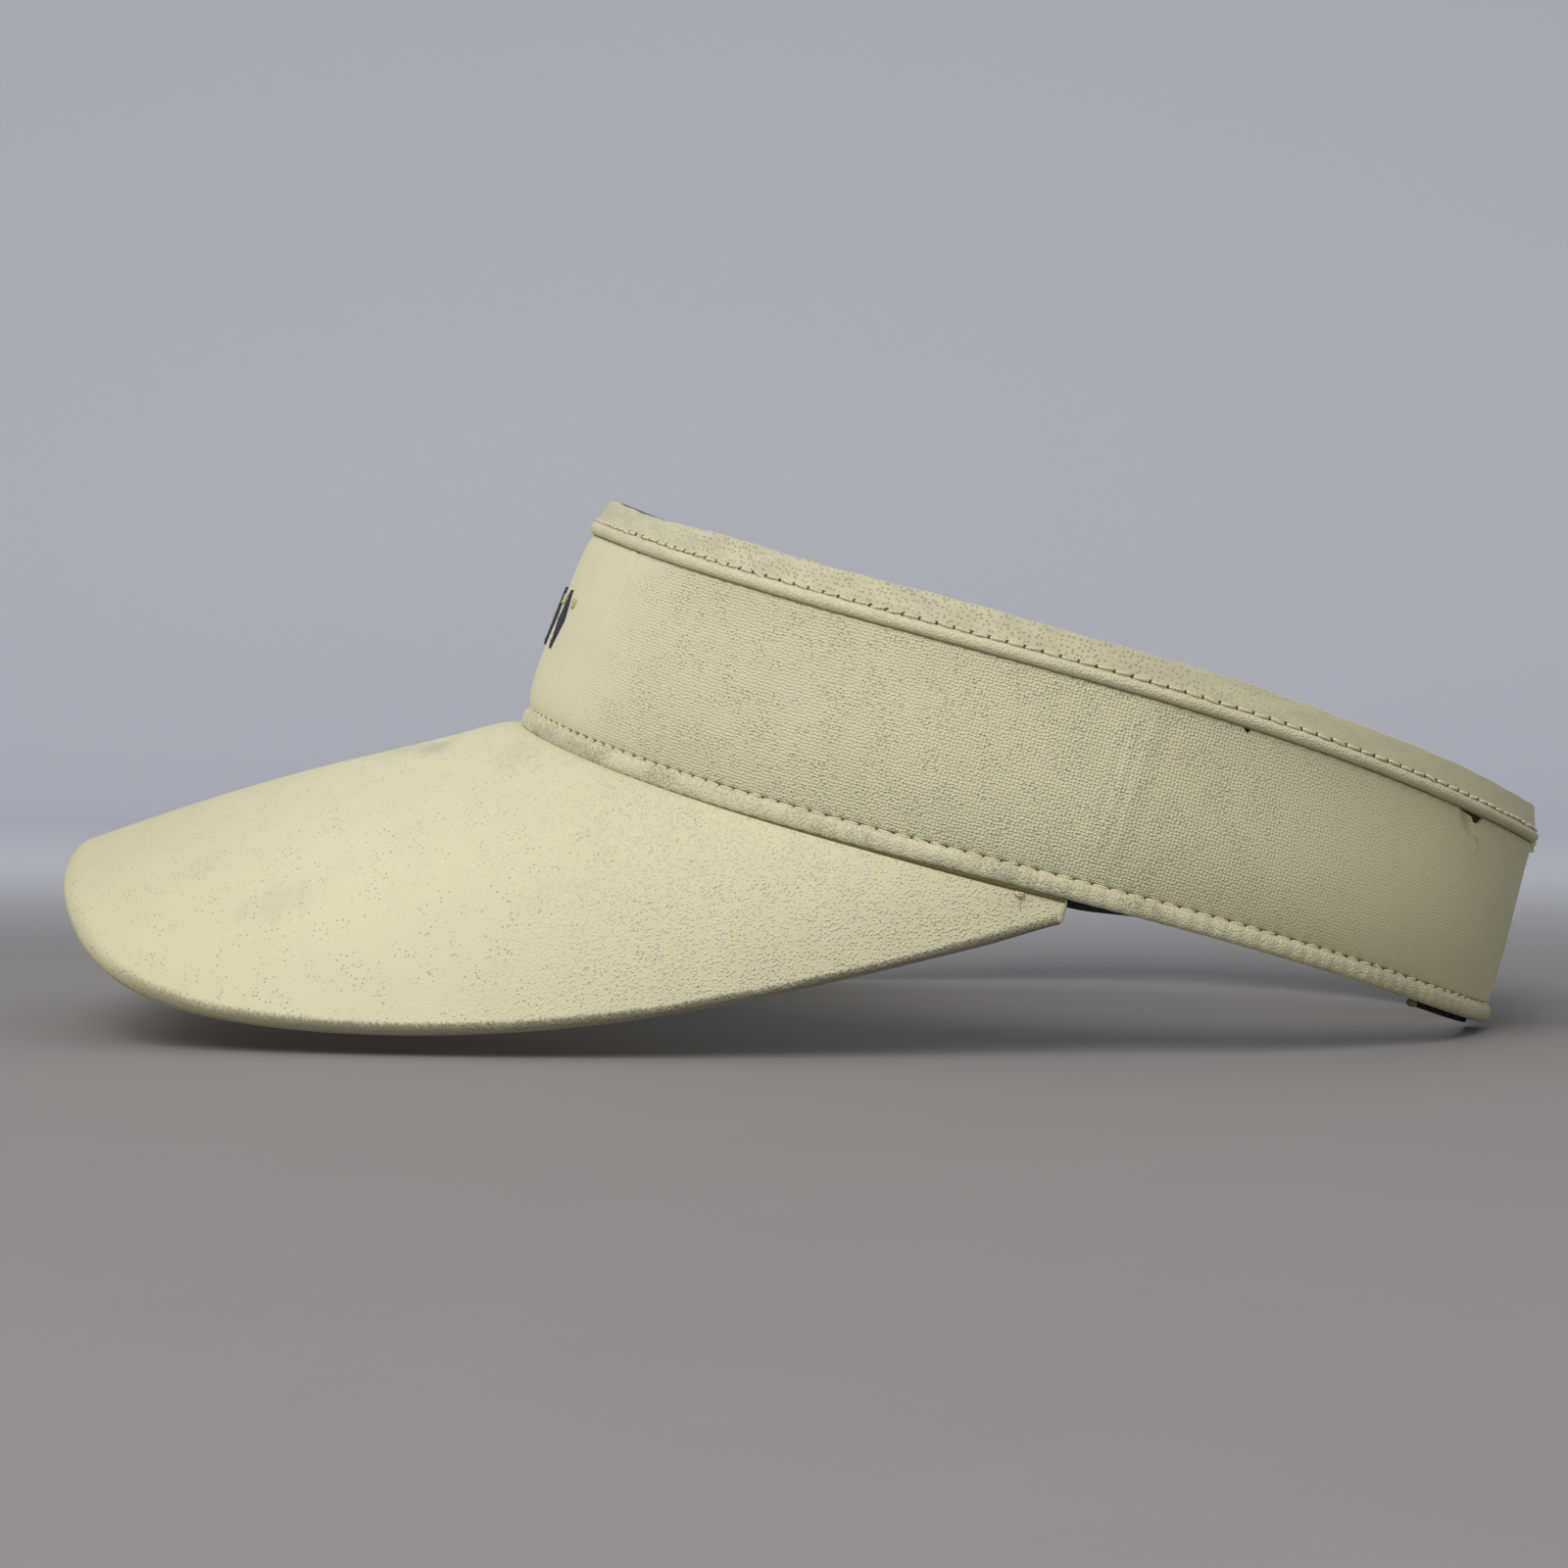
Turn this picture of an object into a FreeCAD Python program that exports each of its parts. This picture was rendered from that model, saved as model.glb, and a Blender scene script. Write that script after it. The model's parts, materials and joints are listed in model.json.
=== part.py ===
import FreeCAD, Part
import math
import os

# Sun visor: an open head band with a long arched brim.
#
# The band is drawn in its own frame first: its lower edge lies in the plane z = 0, its centre is
# at the origin, the wearer faces -Y and the wearer's left is +X. The finished visor is then
# pitched about X, front edge up, as it sits when worn.
#
# Places round the band are arc lengths from the centre front, positive to the wearer's left.
# "inset" is a distance inwards from the outermost line of the band, "depth" is a distance
# inwards from the outer face of the crown panel. All sizes are in millimetres and degrees.

# ---------------------------------------------------------------- driving dimensions

pitch = 16.0                 # front edge up, as worn

# plan of the band: four tangent arcs
side_radius = 110.0
front_radius = 50.0
back_radius = 77.0
half_width = 89.0

# where the lengths of the band begin and end
crease_at = 175.0            # flex crease behind each rear corner of the brim
crease_gap = 0.4
back_opening = 20.0          # gap between the two ends of the band, closed by the tab
hinge_inset = -0.8           # the crease's axis, just outside the outermost face

# heights, from the lower edge
hem_height = 4.2
panel_bottom = 4.4
panel_top = 40.4
piping_centre = 41.9
piping_radius = 1.25
facing_bottom = 43.3
facing_top = 47.8

# crown panel, seen in a vertical cut
panel_bottom_inset = 0.9
panel_top_inset = 1.5
panel_bulge = 1.6
panel_thickness = 0.7

hem_depth = 3.4
hem_round = 1.5
facing_bottom_inset = 1.4
facing_top_inset = 2.6
facing_thickness = 1.2

# layers inside the panel: (first depth, last depth, lowest height, highest height)
stiffener_layer = (0.85, 1.45, 6.0, 39.0)
core_layer = (1.6, 3.0, 4.8, 40.3)
pad_layer = (3.1, 4.1, 6.0, 38.0)
front_sweatband_layer = (4.25, 5.25, 0.5, 46.0)
side_sweatband_layer = (3.15, 4.15, -2.2, 46.0)
hook_tape_layer = (3.15, 4.15, -1.2, 38.0)
loop_tape_layer = (4.5, 5.3, 5.0, 38.0)
tab_layer = (5.35, 6.35, 4.0, 39.0)

stiffener_reach = 44.0       # from the centre front, each way
pad_reach = 75.0
hook_tape_length = 38.0
tab_sewn_length = 12.0       # overlap of the tab on the right end
tab_hook_length = 25.0       # overlap of the tab on the hook tape
layer_gap = 0.3              # between pieces of different bodies, and between butted pieces

# brim
brim_reach = 164.0           # rear corner of the brim, along the band
brim_edge_inset = 0.6
brim_edge_drop = 0.15
rib_crown = 2.6              # how far a rib of the brim bows upwards
# Where seven ribs, evenly spaced along the band from the centre front, meet the rim.
rim_points = [
    (0.0, -189.8, -49.6),
    (27.5, -185.7, -52.9),
    (53.0, -176.6, -56.8),
    (75.0, -160.2, -63.2),
    (87.7, -127.0, -62.8),
    (92.7, -62.5, -43.6),
    (88.0, 14.3, -2.7),
]
# brim layers: (first depth, last depth, distance from the rim)
top_cover_layer = (0.0, 0.45, 0.0)
foam_layer = (0.5, 1.2, 1.2)
board_layer = (1.25, 2.65, 1.2)
under_cover_layer = (2.7, 3.1, 0.0)
ribs_across = 49
stations_along_rib = 7

# embroidered motif
motif_count = 5
motif_spacing = 9.0
motif_width = 5.5
motif_height = 12.0
motif_centre_height = 23.0
dot_radius = 1.1
dot_rise = 4.0
motif_layer = (-0.5, -0.05, 8.0, 31.0)
motif_reach = 32.0

# ---------------------------------------------------------------- plan of the band

side_offset = side_radius - half_width
front_angle = math.asin(side_offset / (side_radius - front_radius))
back_angle = math.asin(side_offset / (side_radius - back_radius))
front_reach = (side_radius - front_radius) * math.cos(front_angle) + front_radius
back_reach = (side_radius - back_radius) * math.cos(back_angle) + back_radius
side_centre_y = (front_reach - back_reach) / 2
front_centre_y = side_centre_y - (side_radius - front_radius) * math.cos(front_angle)
back_centre_y = side_centre_y + (side_radius - back_radius) * math.cos(back_angle)

front_arc_end = front_radius * front_angle
side_arc_end = front_arc_end + side_radius * (math.pi - front_angle - back_angle)
half_girth = side_arc_end + back_radius * back_angle

# Arcs in order round the band: centre x, centre y, radius, first and last place, and the
# bearing of the first place, measured from -Y towards +X.
band_arcs = [
    (0.0, back_centre_y, back_radius, -half_girth, -side_arc_end, -math.pi),
    (side_offset, side_centre_y, side_radius, -side_arc_end, -front_arc_end, back_angle - math.pi),
    (0.0, front_centre_y, front_radius, -front_arc_end, front_arc_end, -front_angle),
    (-side_offset, side_centre_y, side_radius, front_arc_end, side_arc_end, front_angle),
    (0.0, back_centre_y, back_radius, side_arc_end, 2 * half_girth, math.pi - back_angle),
]


def band_point(place, inset, height):
    """A point of the band: place along it, inset from its outer line, height."""
    for centre_x, centre_y, radius, first, last, bearing in band_arcs:
        if place <= last:
            break
    angle = bearing + (place - first) / radius
    reach = radius - inset
    return FreeCAD.Vector(centre_x + reach * math.sin(angle), centre_y - reach * math.cos(angle), height)


def swept_section(section, first_place, last_place):
    """Solid of a closed section carried round the band; section(radius) gives the wire's edges."""
    pieces = []
    for centre_x, centre_y, radius, arc_first, arc_last, bearing in band_arcs:
        start = max(first_place, arc_first)
        end = min(last_place, arc_last)
        if end - start < 0.01:
            continue
        face = Part.Face(Part.Wire(section(radius)))
        start_bearing = math.degrees(bearing + (start - arc_first) / radius) - 90.0
        face.rotate(FreeCAD.Vector(0, 0, 0), FreeCAD.Vector(0, 0, 1), start_bearing)
        swing = math.degrees((end - start) / radius)
        piece = face.revolve(FreeCAD.Vector(0, 0, 0), FreeCAD.Vector(0, 0, 1), swing)
        piece.translate(FreeCAD.Vector(centre_x, centre_y, 0))
        pieces.append(piece)
    solid = pieces[0]
    for piece in pieces[1:]:
        solid = solid.fuse(piece)
    return solid.removeSplitter() if len(pieces) > 1 else solid


# ---------------------------------------------------------------- sections of the band

def panel_inset(height):
    """Inset of the crown panel's outer face at a height: a shallow outward bow."""
    middle = (panel_bottom + panel_top) / 2
    half = (panel_top - panel_bottom) / 2
    along = (height - middle) / half
    lean = (panel_top_inset - panel_bottom_inset) / 2
    straight = (panel_bottom_inset + panel_top_inset) / 2 + along * lean
    return straight - panel_bulge * (1 - along * along)


def wall_section(layer):
    """Section of a layer that runs parallel to the panel's outer face."""
    first_depth, last_depth, low, high = layer

    def edges(radius):
        def corner(depth, height):
            return FreeCAD.Vector(radius - panel_inset(height) - depth, 0, height)

        middle = (low + high) / 2
        outer = Part.Arc(corner(first_depth, low), corner(first_depth, middle), corner(first_depth, high))
        inner = Part.Arc(corner(last_depth, high), corner(last_depth, middle), corner(last_depth, low))
        upper = Part.LineSegment(corner(first_depth, high), corner(last_depth, high))
        lower = Part.LineSegment(corner(last_depth, low), corner(first_depth, low))
        return [outer.toShape(), upper.toShape(), inner.toShape(), lower.toShape()]

    return edges


def hem_section(radius):
    """The padded roll along the lower edge: rounded outside, flat inside."""
    outside = radius
    shoulder = radius - hem_round
    inside = radius - hem_depth
    bottom_outer = FreeCAD.Vector(shoulder, 0, 0)
    top_outer = FreeCAD.Vector(shoulder, 0, hem_height)
    roll = Part.Arc(bottom_outer, FreeCAD.Vector(outside, 0, hem_height / 2), top_outer)
    top = Part.LineSegment(top_outer, FreeCAD.Vector(inside, 0, hem_height))
    back = Part.LineSegment(FreeCAD.Vector(inside, 0, hem_height), FreeCAD.Vector(inside, 0, 0))
    bottom = Part.LineSegment(FreeCAD.Vector(inside, 0, 0), bottom_outer)
    return [roll.toShape(), top.toShape(), back.toShape(), bottom.toShape()]


def piping_section(radius):
    """The round cord roll below the facing."""
    centre = FreeCAD.Vector(radius - panel_top_inset, 0, piping_centre)
    return [Part.Circle(centre, FreeCAD.Vector(0, 1, 0), piping_radius).toShape()]


def facing_section(radius):
    """The strip above the piping, leaning inwards."""
    corners = [
        FreeCAD.Vector(radius - facing_bottom_inset, 0, facing_bottom),
        FreeCAD.Vector(radius - facing_top_inset, 0, facing_top),
        FreeCAD.Vector(radius - facing_top_inset - facing_thickness, 0, facing_top),
        FreeCAD.Vector(radius - facing_bottom_inset - facing_thickness, 0, facing_bottom),
    ]
    return [Part.LineSegment(corners[i - 1], corners[i]).toShape() for i in range(4)]


# ---------------------------------------------------------------- brim

def rim_curve():
    """The brim's rim from the right rear corner to the left one, with parameter -1 to 1."""
    steps = len(rim_points) - 1
    points = [FreeCAD.Vector(-x, y, z) for x, y, z in reversed(rim_points[1:])]
    points += [FreeCAD.Vector(x, y, z) for x, y, z in rim_points]
    curve = Part.BSplineCurve()
    curve.interpolate(Points=points, Parameters=[k / steps for k in range(-steps, steps + 1)])
    return curve


rim = rim_curve()


def brim_top(across, along):
    """Upper face of the brim: across from -1 to 1, along a rib from the band (0) to the rim (1)."""
    start = band_point(across * brim_reach, brim_edge_inset, -brim_edge_drop)
    end = rim.value(across)
    bow = rib_crown * 4 * along * (1 - along) * (1 - across * across)
    return start + (end - start) * along + FreeCAD.Vector(0, 0, bow)


def brim_normal(across, along):
    """Unit normal of the upper face, pointing up and out."""
    step = 0.004
    low, high = max(across - step, -1.0), min(across + step, 1.0)
    near, far = max(along - step, 0.0), min(along + step, 1.0)
    sideways = brim_top(high, along) - brim_top(low, along)
    outward = brim_top(across, far) - brim_top(across, near)
    normal = outward.cross(sideways)
    return normal.normalize()


def brim_sheet(depth, rim_distance):
    """Grid of points at a depth under the upper face, stopping short of the rim."""
    rows = []
    for i in range(ribs_across):
        across = -1.0 + 2.0 * i / (ribs_across - 1)
        length = brim_top(across, 0.0).distanceToPoint(brim_top(across, 1.0))
        share = 1.0 - rim_distance / length
        row = []
        for j in range(stations_along_rib):
            along = share * j / (stations_along_rib - 1)
            row.append(brim_top(across, along) - brim_normal(across, along) * depth)
        rows.append(row)
    return rows


def spline_face(rows):
    """Smooth face through a grid of points."""
    surface = Part.BSplineSurface()
    surface.interpolate(rows)
    return surface.toShape()


def matching_edge(face, rows, side):
    """The face's edge along one side of its grid: first row, last row, first column, last column."""
    middle_row = len(rows) // 2
    middle_column = len(rows[0]) // 2
    ends = [rows[0][middle_column], rows[-1][middle_column]]
    sides = [rows[middle_row][0], rows[middle_row][-1]]
    vertex = Part.Vertex((ends + sides)[side])
    return min(face.Edges, key=lambda edge: edge.distToShape(vertex)[0])


def brim_layer(layer):
    """Closed solid of one layer of the brim."""
    first_depth, last_depth, rim_distance = layer
    upper = brim_sheet(first_depth, rim_distance)
    lower = brim_sheet(last_depth, rim_distance)
    upper_face = spline_face(upper)
    lower_face = spline_face(lower)
    faces = [upper_face, lower_face]
    for side in range(4):
        upper_edge = matching_edge(upper_face, upper, side)
        lower_edge = matching_edge(lower_face, lower, side)
        faces.append(Part.makeRuledSurface(upper_edge, lower_edge))
    shell = Part.makeShell(faces)
    shell.sewShape()
    return Part.makeSolid(shell)


# ---------------------------------------------------------------- motif

def motif():
    """A row of narrow upright diamonds with small dots beside their tips."""
    layer = swept_section(wall_section(motif_layer), -motif_reach, motif_reach)
    solids = []
    for k in range(motif_count):
        x = (k - (motif_count - 1) / 2) * motif_spacing
        corners = [
            FreeCAD.Vector(x - motif_width / 2, -130, motif_centre_height),
            FreeCAD.Vector(x, -130, motif_centre_height + motif_height / 2),
            FreeCAD.Vector(x + motif_width / 2, -130, motif_centre_height),
            FreeCAD.Vector(x, -130, motif_centre_height - motif_height / 2),
        ]
        outline = Part.makePolygon(corners + corners[:1])
        solids.append(Part.Face(outline).extrude(FreeCAD.Vector(0, 60, 0)))
    for k in range(motif_count + 1):
        x = (k - motif_count / 2) * motif_spacing
        base = FreeCAD.Vector(x, -130, motif_centre_height + dot_rise)
        solids.append(Part.makeCylinder(dot_radius, 60, base, FreeCAD.Vector(0, 1, 0)))
    return Part.makeCompound([layer.common(solid).Solids[0] for solid in solids])


# ---------------------------------------------------------------- the pieces

band_end = half_girth - back_opening / 2
hook_start = band_end - hook_tape_length
half_gap = crease_gap / 2

# name and section of the strips that every length of the band has
strips = {
    "band_panel": wall_section((0.0, panel_thickness, panel_bottom, panel_top)),
    "facing": facing_section,
    "piping": piping_section,
    "hem": hem_section,
    "band_core": wall_section(core_layer),
}
lengths = {
    "front": (-crease_at + half_gap, crease_at - half_gap),
    "left": (crease_at + half_gap, band_end),
    "right": (-band_end, -crease_at - half_gap),
}

pieces = {}
for strip_name, section in strips.items():
    for length_name, (first, last) in lengths.items():
        pieces[strip_name + "_" + length_name] = swept_section(section, first, last)

front_first, front_last = lengths["front"]
pieces["sweatband_front"] = swept_section(wall_section(front_sweatband_layer), front_first, front_last)
side_sweatband = wall_section(side_sweatband_layer)
pieces["sweatband_left"] = swept_section(side_sweatband, lengths["left"][0], hook_start - layer_gap)
pieces["sweatband_right"] = swept_section(side_sweatband, *lengths["right"])
pieces["band_stiffener"] = swept_section(wall_section(stiffener_layer), -stiffener_reach, stiffener_reach)
pieces["forehead_pad"] = swept_section(wall_section(pad_layer), -pad_reach, pad_reach)

# back closure: hook tape inside the left end, tab and loop tape from the right end
tab_root = half_girth + back_opening / 2 + tab_sewn_length
tab_tip = band_end - tab_hook_length
pieces["hook_tape"] = swept_section(wall_section(hook_tape_layer), hook_start, band_end)
pieces["closure_tab"] = swept_section(wall_section(tab_layer), tab_tip, tab_root)
pieces["loop_tape"] = swept_section(wall_section(loop_tape_layer), tab_tip, tab_root)

pieces["brim_top_cover"] = brim_layer(top_cover_layer)
pieces["brim_foam"] = brim_layer(foam_layer)
pieces["brim_board"] = brim_layer(board_layer)
pieces["brim_under_cover"] = brim_layer(under_cover_layer)
pieces["front_embroidery"] = motif()

# ---------------------------------------------------------------- writing the files

os.makedirs("parts", exist_ok=True)
for name, shape in pieces.items():
    shape.rotate(FreeCAD.Vector(0, 0, 0), FreeCAD.Vector(1, 0, 0), -pitch)
    shape.exportStep("parts/" + name + ".step")
    print(name, "valid" if shape.isValid() else "INVALID", len(shape.Solids), round(shape.Volume, 1), "mm3")

for side, label in ((1, "left"), (-1, "right")):
    axis_point = band_point(side * crease_at, hinge_inset, 0.0)
    print(label, "crease", round(axis_point.x, 2), round(axis_point.y, 2))
tab_hinge = band_point(tab_root, panel_inset(20.0) + loop_tape_layer[0], 0.0)
print("tab hinge", round(tab_hinge.x, 2), round(tab_hinge.y, 2))
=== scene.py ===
import json
import math

import bpy
import numpy as np
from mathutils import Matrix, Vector


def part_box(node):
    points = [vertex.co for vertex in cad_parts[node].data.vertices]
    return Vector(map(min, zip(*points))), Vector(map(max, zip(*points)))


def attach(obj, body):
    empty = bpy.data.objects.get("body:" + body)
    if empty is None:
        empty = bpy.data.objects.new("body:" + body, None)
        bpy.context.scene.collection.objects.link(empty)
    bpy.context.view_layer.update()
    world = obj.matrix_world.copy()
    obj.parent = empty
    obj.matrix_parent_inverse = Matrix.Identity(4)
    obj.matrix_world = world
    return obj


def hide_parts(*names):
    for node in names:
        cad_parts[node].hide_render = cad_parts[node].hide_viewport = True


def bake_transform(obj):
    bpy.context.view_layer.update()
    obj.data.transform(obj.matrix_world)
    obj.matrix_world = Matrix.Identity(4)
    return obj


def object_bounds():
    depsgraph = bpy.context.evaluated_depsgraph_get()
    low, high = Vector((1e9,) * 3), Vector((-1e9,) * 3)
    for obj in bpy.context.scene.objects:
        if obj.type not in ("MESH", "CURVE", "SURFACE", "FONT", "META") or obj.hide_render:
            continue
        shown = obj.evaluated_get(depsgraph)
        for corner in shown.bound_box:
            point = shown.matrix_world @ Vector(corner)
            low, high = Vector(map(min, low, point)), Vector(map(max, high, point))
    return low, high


# Sun visor: an open head band with a long arched brim.
#
# Shapes are worked out in the band's own frame, in millimetres: its lower edge lies near z = 0,
# the wearer faces -Y and the wearer's left is +X. row_frame() turns them into the packed
# model's frame, in metres. "place" is an arc length round the band from the centre front,
# positive to the wearer's left; "inset" is a distance inwards from the band's outermost line;
# "depth" is a distance inwards from the crown panel's outer face.

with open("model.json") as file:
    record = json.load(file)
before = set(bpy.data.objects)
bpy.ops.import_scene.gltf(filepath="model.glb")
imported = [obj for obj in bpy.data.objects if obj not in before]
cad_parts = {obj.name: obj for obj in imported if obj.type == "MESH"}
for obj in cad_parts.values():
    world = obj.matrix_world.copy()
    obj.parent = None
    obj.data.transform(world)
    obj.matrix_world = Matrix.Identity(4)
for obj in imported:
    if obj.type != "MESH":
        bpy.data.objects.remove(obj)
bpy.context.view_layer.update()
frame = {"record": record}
rng = np.random.default_rng(7)

MM = 0.001

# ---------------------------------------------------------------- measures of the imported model

mount = next(m for m in frame["record"]["mounts"] if m["name"] == "head_opening")
sin_pitch, cos_pitch = -mount["axis"][1], -mount["axis"][2]
half_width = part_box("hem_front")[1].x / MM

# plan of the band: four tangent arcs
side_radius = 110.0
front_radius = 50.0
back_radius = 77.0
side_offset = side_radius - half_width
front_angle = math.asin(side_offset / (side_radius - front_radius))
back_angle = math.asin(side_offset / (side_radius - back_radius))
front_reach = (side_radius - front_radius) * math.cos(front_angle) + front_radius
back_reach = (side_radius - back_radius) * math.cos(back_angle) + back_radius
half_length = (front_reach + back_reach) / 2
side_centre_y = (front_reach - back_reach) / 2
front_centre_y = side_centre_y - (side_radius - front_radius) * math.cos(front_angle)
back_centre_y = side_centre_y + (side_radius - back_radius) * math.cos(back_angle)
front_arc_end = front_radius * front_angle
side_arc_end = front_arc_end + side_radius * (math.pi - front_angle - back_angle)
half_girth = side_arc_end + back_radius * back_angle
band_arcs = [
    (0.0, back_centre_y, back_radius, -half_girth, -side_arc_end, -math.pi),
    (side_offset, side_centre_y, side_radius, -side_arc_end, -front_arc_end, back_angle - math.pi),
    (0.0, front_centre_y, front_radius, -front_arc_end, front_arc_end, -front_angle),
    (-side_offset, side_centre_y, side_radius, front_arc_end, side_arc_end, front_angle),
    (0.0, back_centre_y, back_radius, side_arc_end, 2 * half_girth, math.pi - back_angle),
]

# lengths of the band
front_end = 44.0              # the front piece reaches this far each way
band_end = half_girth - 10.0
crease_at = 169.0             # the crease as drawn, a little ahead of the joint's axis
hook_start = band_end - 38.0
tab_tip = band_end - 25.0
tab_root = half_girth + 22.0

# heights and insets of the band's seams
hem_seam, hem_seam_inset = 3.9, 0.6
piping_seam, piping_seam_inset = 40.6, 1.3
piping_centre, piping_radius = 41.9, 1.25
facing_seam, facing_seam_inset = 43.3, 1.2
facing_top, facing_top_inset = 47.8, 2.6
panel_thickness = 0.7
stitch_pitch = 3.5

# how the cloth has settled: height lost per unit of length, and the sag of the seams
height_taper = 0.065
side_belly = 2.9
front_belly = 1.3
low_lean, high_lean = 1.4, -0.8     # how far out the front's lower and upper seams lean
back_lean = 0.9                     # and the ends of the band
sag_rise, sag_arch, sag_drop, sag_lean = 5.45, 2.7, 1.9, 0.015

# layers inside the panel: (first depth, last depth, lowest height, highest height)
stiffener_layer = (0.85, 1.45, 6.0, 39.0)
core_layer = (1.6, 2.9, 4.8, 40.0)
pad_layer = (3.1, 4.1, 6.0, 38.0)
hook_layer = (3.15, 4.15, -1.2, 38.0)
loop_layer = (4.5, 5.3, 5.0, 38.0)
tab_layer = (5.35, 6.35, 4.0, 39.0)

# brim
brim_reach = 164.0
rib_crown = 2.6
rim_points = [
    (0.0, -189.8, -49.6),
    (27.5, -185.7, -52.9),
    (53.0, -176.6, -56.8),
    (75.0, -160.2, -63.2),
    (87.7, -127.0, -62.8),
    (92.7, -62.5, -43.6),
    (88.0, 14.3, -2.7),
]
rim_radius = 1.5
brim_fall = math.radians(25.0)        # forward fall of the arch's axis
shoulder, shoulder_at = 1.5, 0.06

# embroidered motif
motif_count = 5
motif_spacing = 9.0
motif_width = 5.5
motif_height = 12.0
motif_centre_height = 23.0
dot_radius = 1.1
dot_rise = 4.0


# ---------------------------------------------------------------- the band's surface

def ease(first, last, value):
    """Smooth step from 0 at first to 1 at last."""
    share = np.clip((value - first) / (last - first), 0.0, 1.0)
    return share * share * (3 - 2 * share)


def plan(place, inset):
    """Plan position of a point of the band."""
    place, inset = np.broadcast_arrays(np.asarray(place, float), np.asarray(inset, float))
    x, y = np.zeros(place.shape), np.zeros(place.shape)
    for centre_x, centre_y, radius, first, last, bearing in band_arcs:
        here = (place >= first) & (place <= last)
        angle = bearing + (place - first) / radius
        x = np.where(here, centre_x + (radius - inset) * np.sin(angle), x)
        y = np.where(here, centre_y - (radius - inset) * np.cos(angle), y)
    return x, y


def sag(line):
    """How far the seams lie above the plane of the lower edge, by distance to the back."""
    share = line / half_length
    arch = 1 - share * share
    return sag_rise * share * arch + sag_arch * arch - sag_drop - sag_lean * line


def front_share(place):
    """1 at the forehead, 0 from the temples back."""
    return 1 - ease(18.0, 80.0, np.abs(place))


def lean(place, height):
    """How far outwards the front and the back of the band lean."""
    share = np.clip((height - hem_seam) / (piping_seam - hem_seam), 0.0, 1.0)
    at_back = back_lean * ease(215.0, 285.0, np.abs(place))
    return front_share(place) * (low_lean + (high_lean - low_lean) * share) + at_back


def band_points(place, inset, height):
    """Points of the band, as the cloth has settled."""
    place, inset, height = np.broadcast_arrays(place, inset, height)
    x, y = plan(place, inset - lean(place, height))
    line = plan(place, 0.0)[1]
    z = height * (1 - height_taper * line / half_length) + sag(line)
    return np.stack([x, y, z], axis=-1)


def row_frame(points):
    """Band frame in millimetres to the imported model's frame in metres."""
    points = np.asarray(points, float) * MM
    x, y, z = points[..., 0], points[..., 1], points[..., 2]
    return np.stack([x, y * cos_pitch + z * sin_pitch, z * cos_pitch - y * sin_pitch], axis=-1)


def end_curl(place):
    """Extra inset over the last millimetre and a half of the band, where the cloth is folded in."""
    past = np.clip((np.abs(place) - (band_end - 1.5)) / 1.5, 0.0, 1.0)
    return 0.9 * past * past


# The folds at the crease: distance behind it, half width, height of the fold.
fold_lines = [(-4.5, 0.9, 0.14), (-1.6, 0.7, 0.24), (1.3, 0.8, 0.2), (4.6, 1.6, -0.2)]


def crease_folds(place, height):
    """Low upright folds where the side of the band bends."""
    reach = np.abs(place) - crease_at - 0.04 * (height - 22.0)
    folds = 0.0
    for offset, width, lift in fold_lines:
        folds = folds + lift * np.exp(-((reach - offset) / width) ** 2)
    return folds * ease(4.0, 14.0, height)


def panel_inset(place, height, detail=True):
    """Inset of the crown panel's outer face."""
    place, height = np.broadcast_arrays(np.asarray(place, float), np.asarray(height, float))
    away = np.abs(place)
    share = np.clip((height - hem_seam) / (piping_seam - hem_seam), 0.0, 1.0)
    straight = hem_seam_inset + (piping_seam_inset - hem_seam_inset) * share
    side = side_belly / 0.293 * share * (1 - share) * (1 + 2.18 * (0.5 - share))
    fullness = 0.6 - 0.5 * ease(215.0, 290.0, away)
    front = front_belly * (1 - (2 * share - 1) ** 6) * (1.25 - 0.5 * share)
    at_front = front_share(place)
    inset = straight - front * at_front - side * fullness * (1 - at_front) + end_curl(place)
    if not detail:
        return inset
    inner = 4 * share * (1 - share)
    drift = 1.7 * np.sin(height / 15.0)
    slow = 0.16 * np.sin(place / 13.0 + drift) * np.sin(height / 11.0 + place / 41.0)
    slower = 0.2 * np.sin(place / 29.0 + 0.6) * np.cos(height / 19.0)
    stiffener_step = 0.22 * np.exp(-((away - 45.5) / 1.2) ** 2) * ease(12.0, 34.0, height)
    pucker = np.cos(2 * np.pi * place / stitch_pitch)
    low_pull = np.exp(-((height - hem_seam) / 0.9) ** 2) * (0.18 + 0.12 * pucker)
    top_pull = np.exp(-((height - piping_seam) / 1.1) ** 2) * (0.12 + 0.07 * pucker)
    pulled = pulled_seam(place, height)
    folds = crease_folds(place, height) * inner ** 0.4
    return inset - (slow + slower) * inner - folds + stiffener_step + low_pull + top_pull + pulled


# Where the top seam of the left side has come away: place, half length, drop of the panel's edge.
pulled_spots = [(188.5, 1.0, 1.9), (248.0, 4.2, 2.6)]


def pulled_drop(place):
    """How far the panel's top edge has pulled out from under the piping."""
    total = 0.0
    for centre, half_spot, drop in pulled_spots:
        share = (place - centre) / half_spot
        total = total + drop * np.sqrt(ease(-1.2, 0.7, share)) * (1 - ease(0.7, 1.2, share))
    return total


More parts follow.
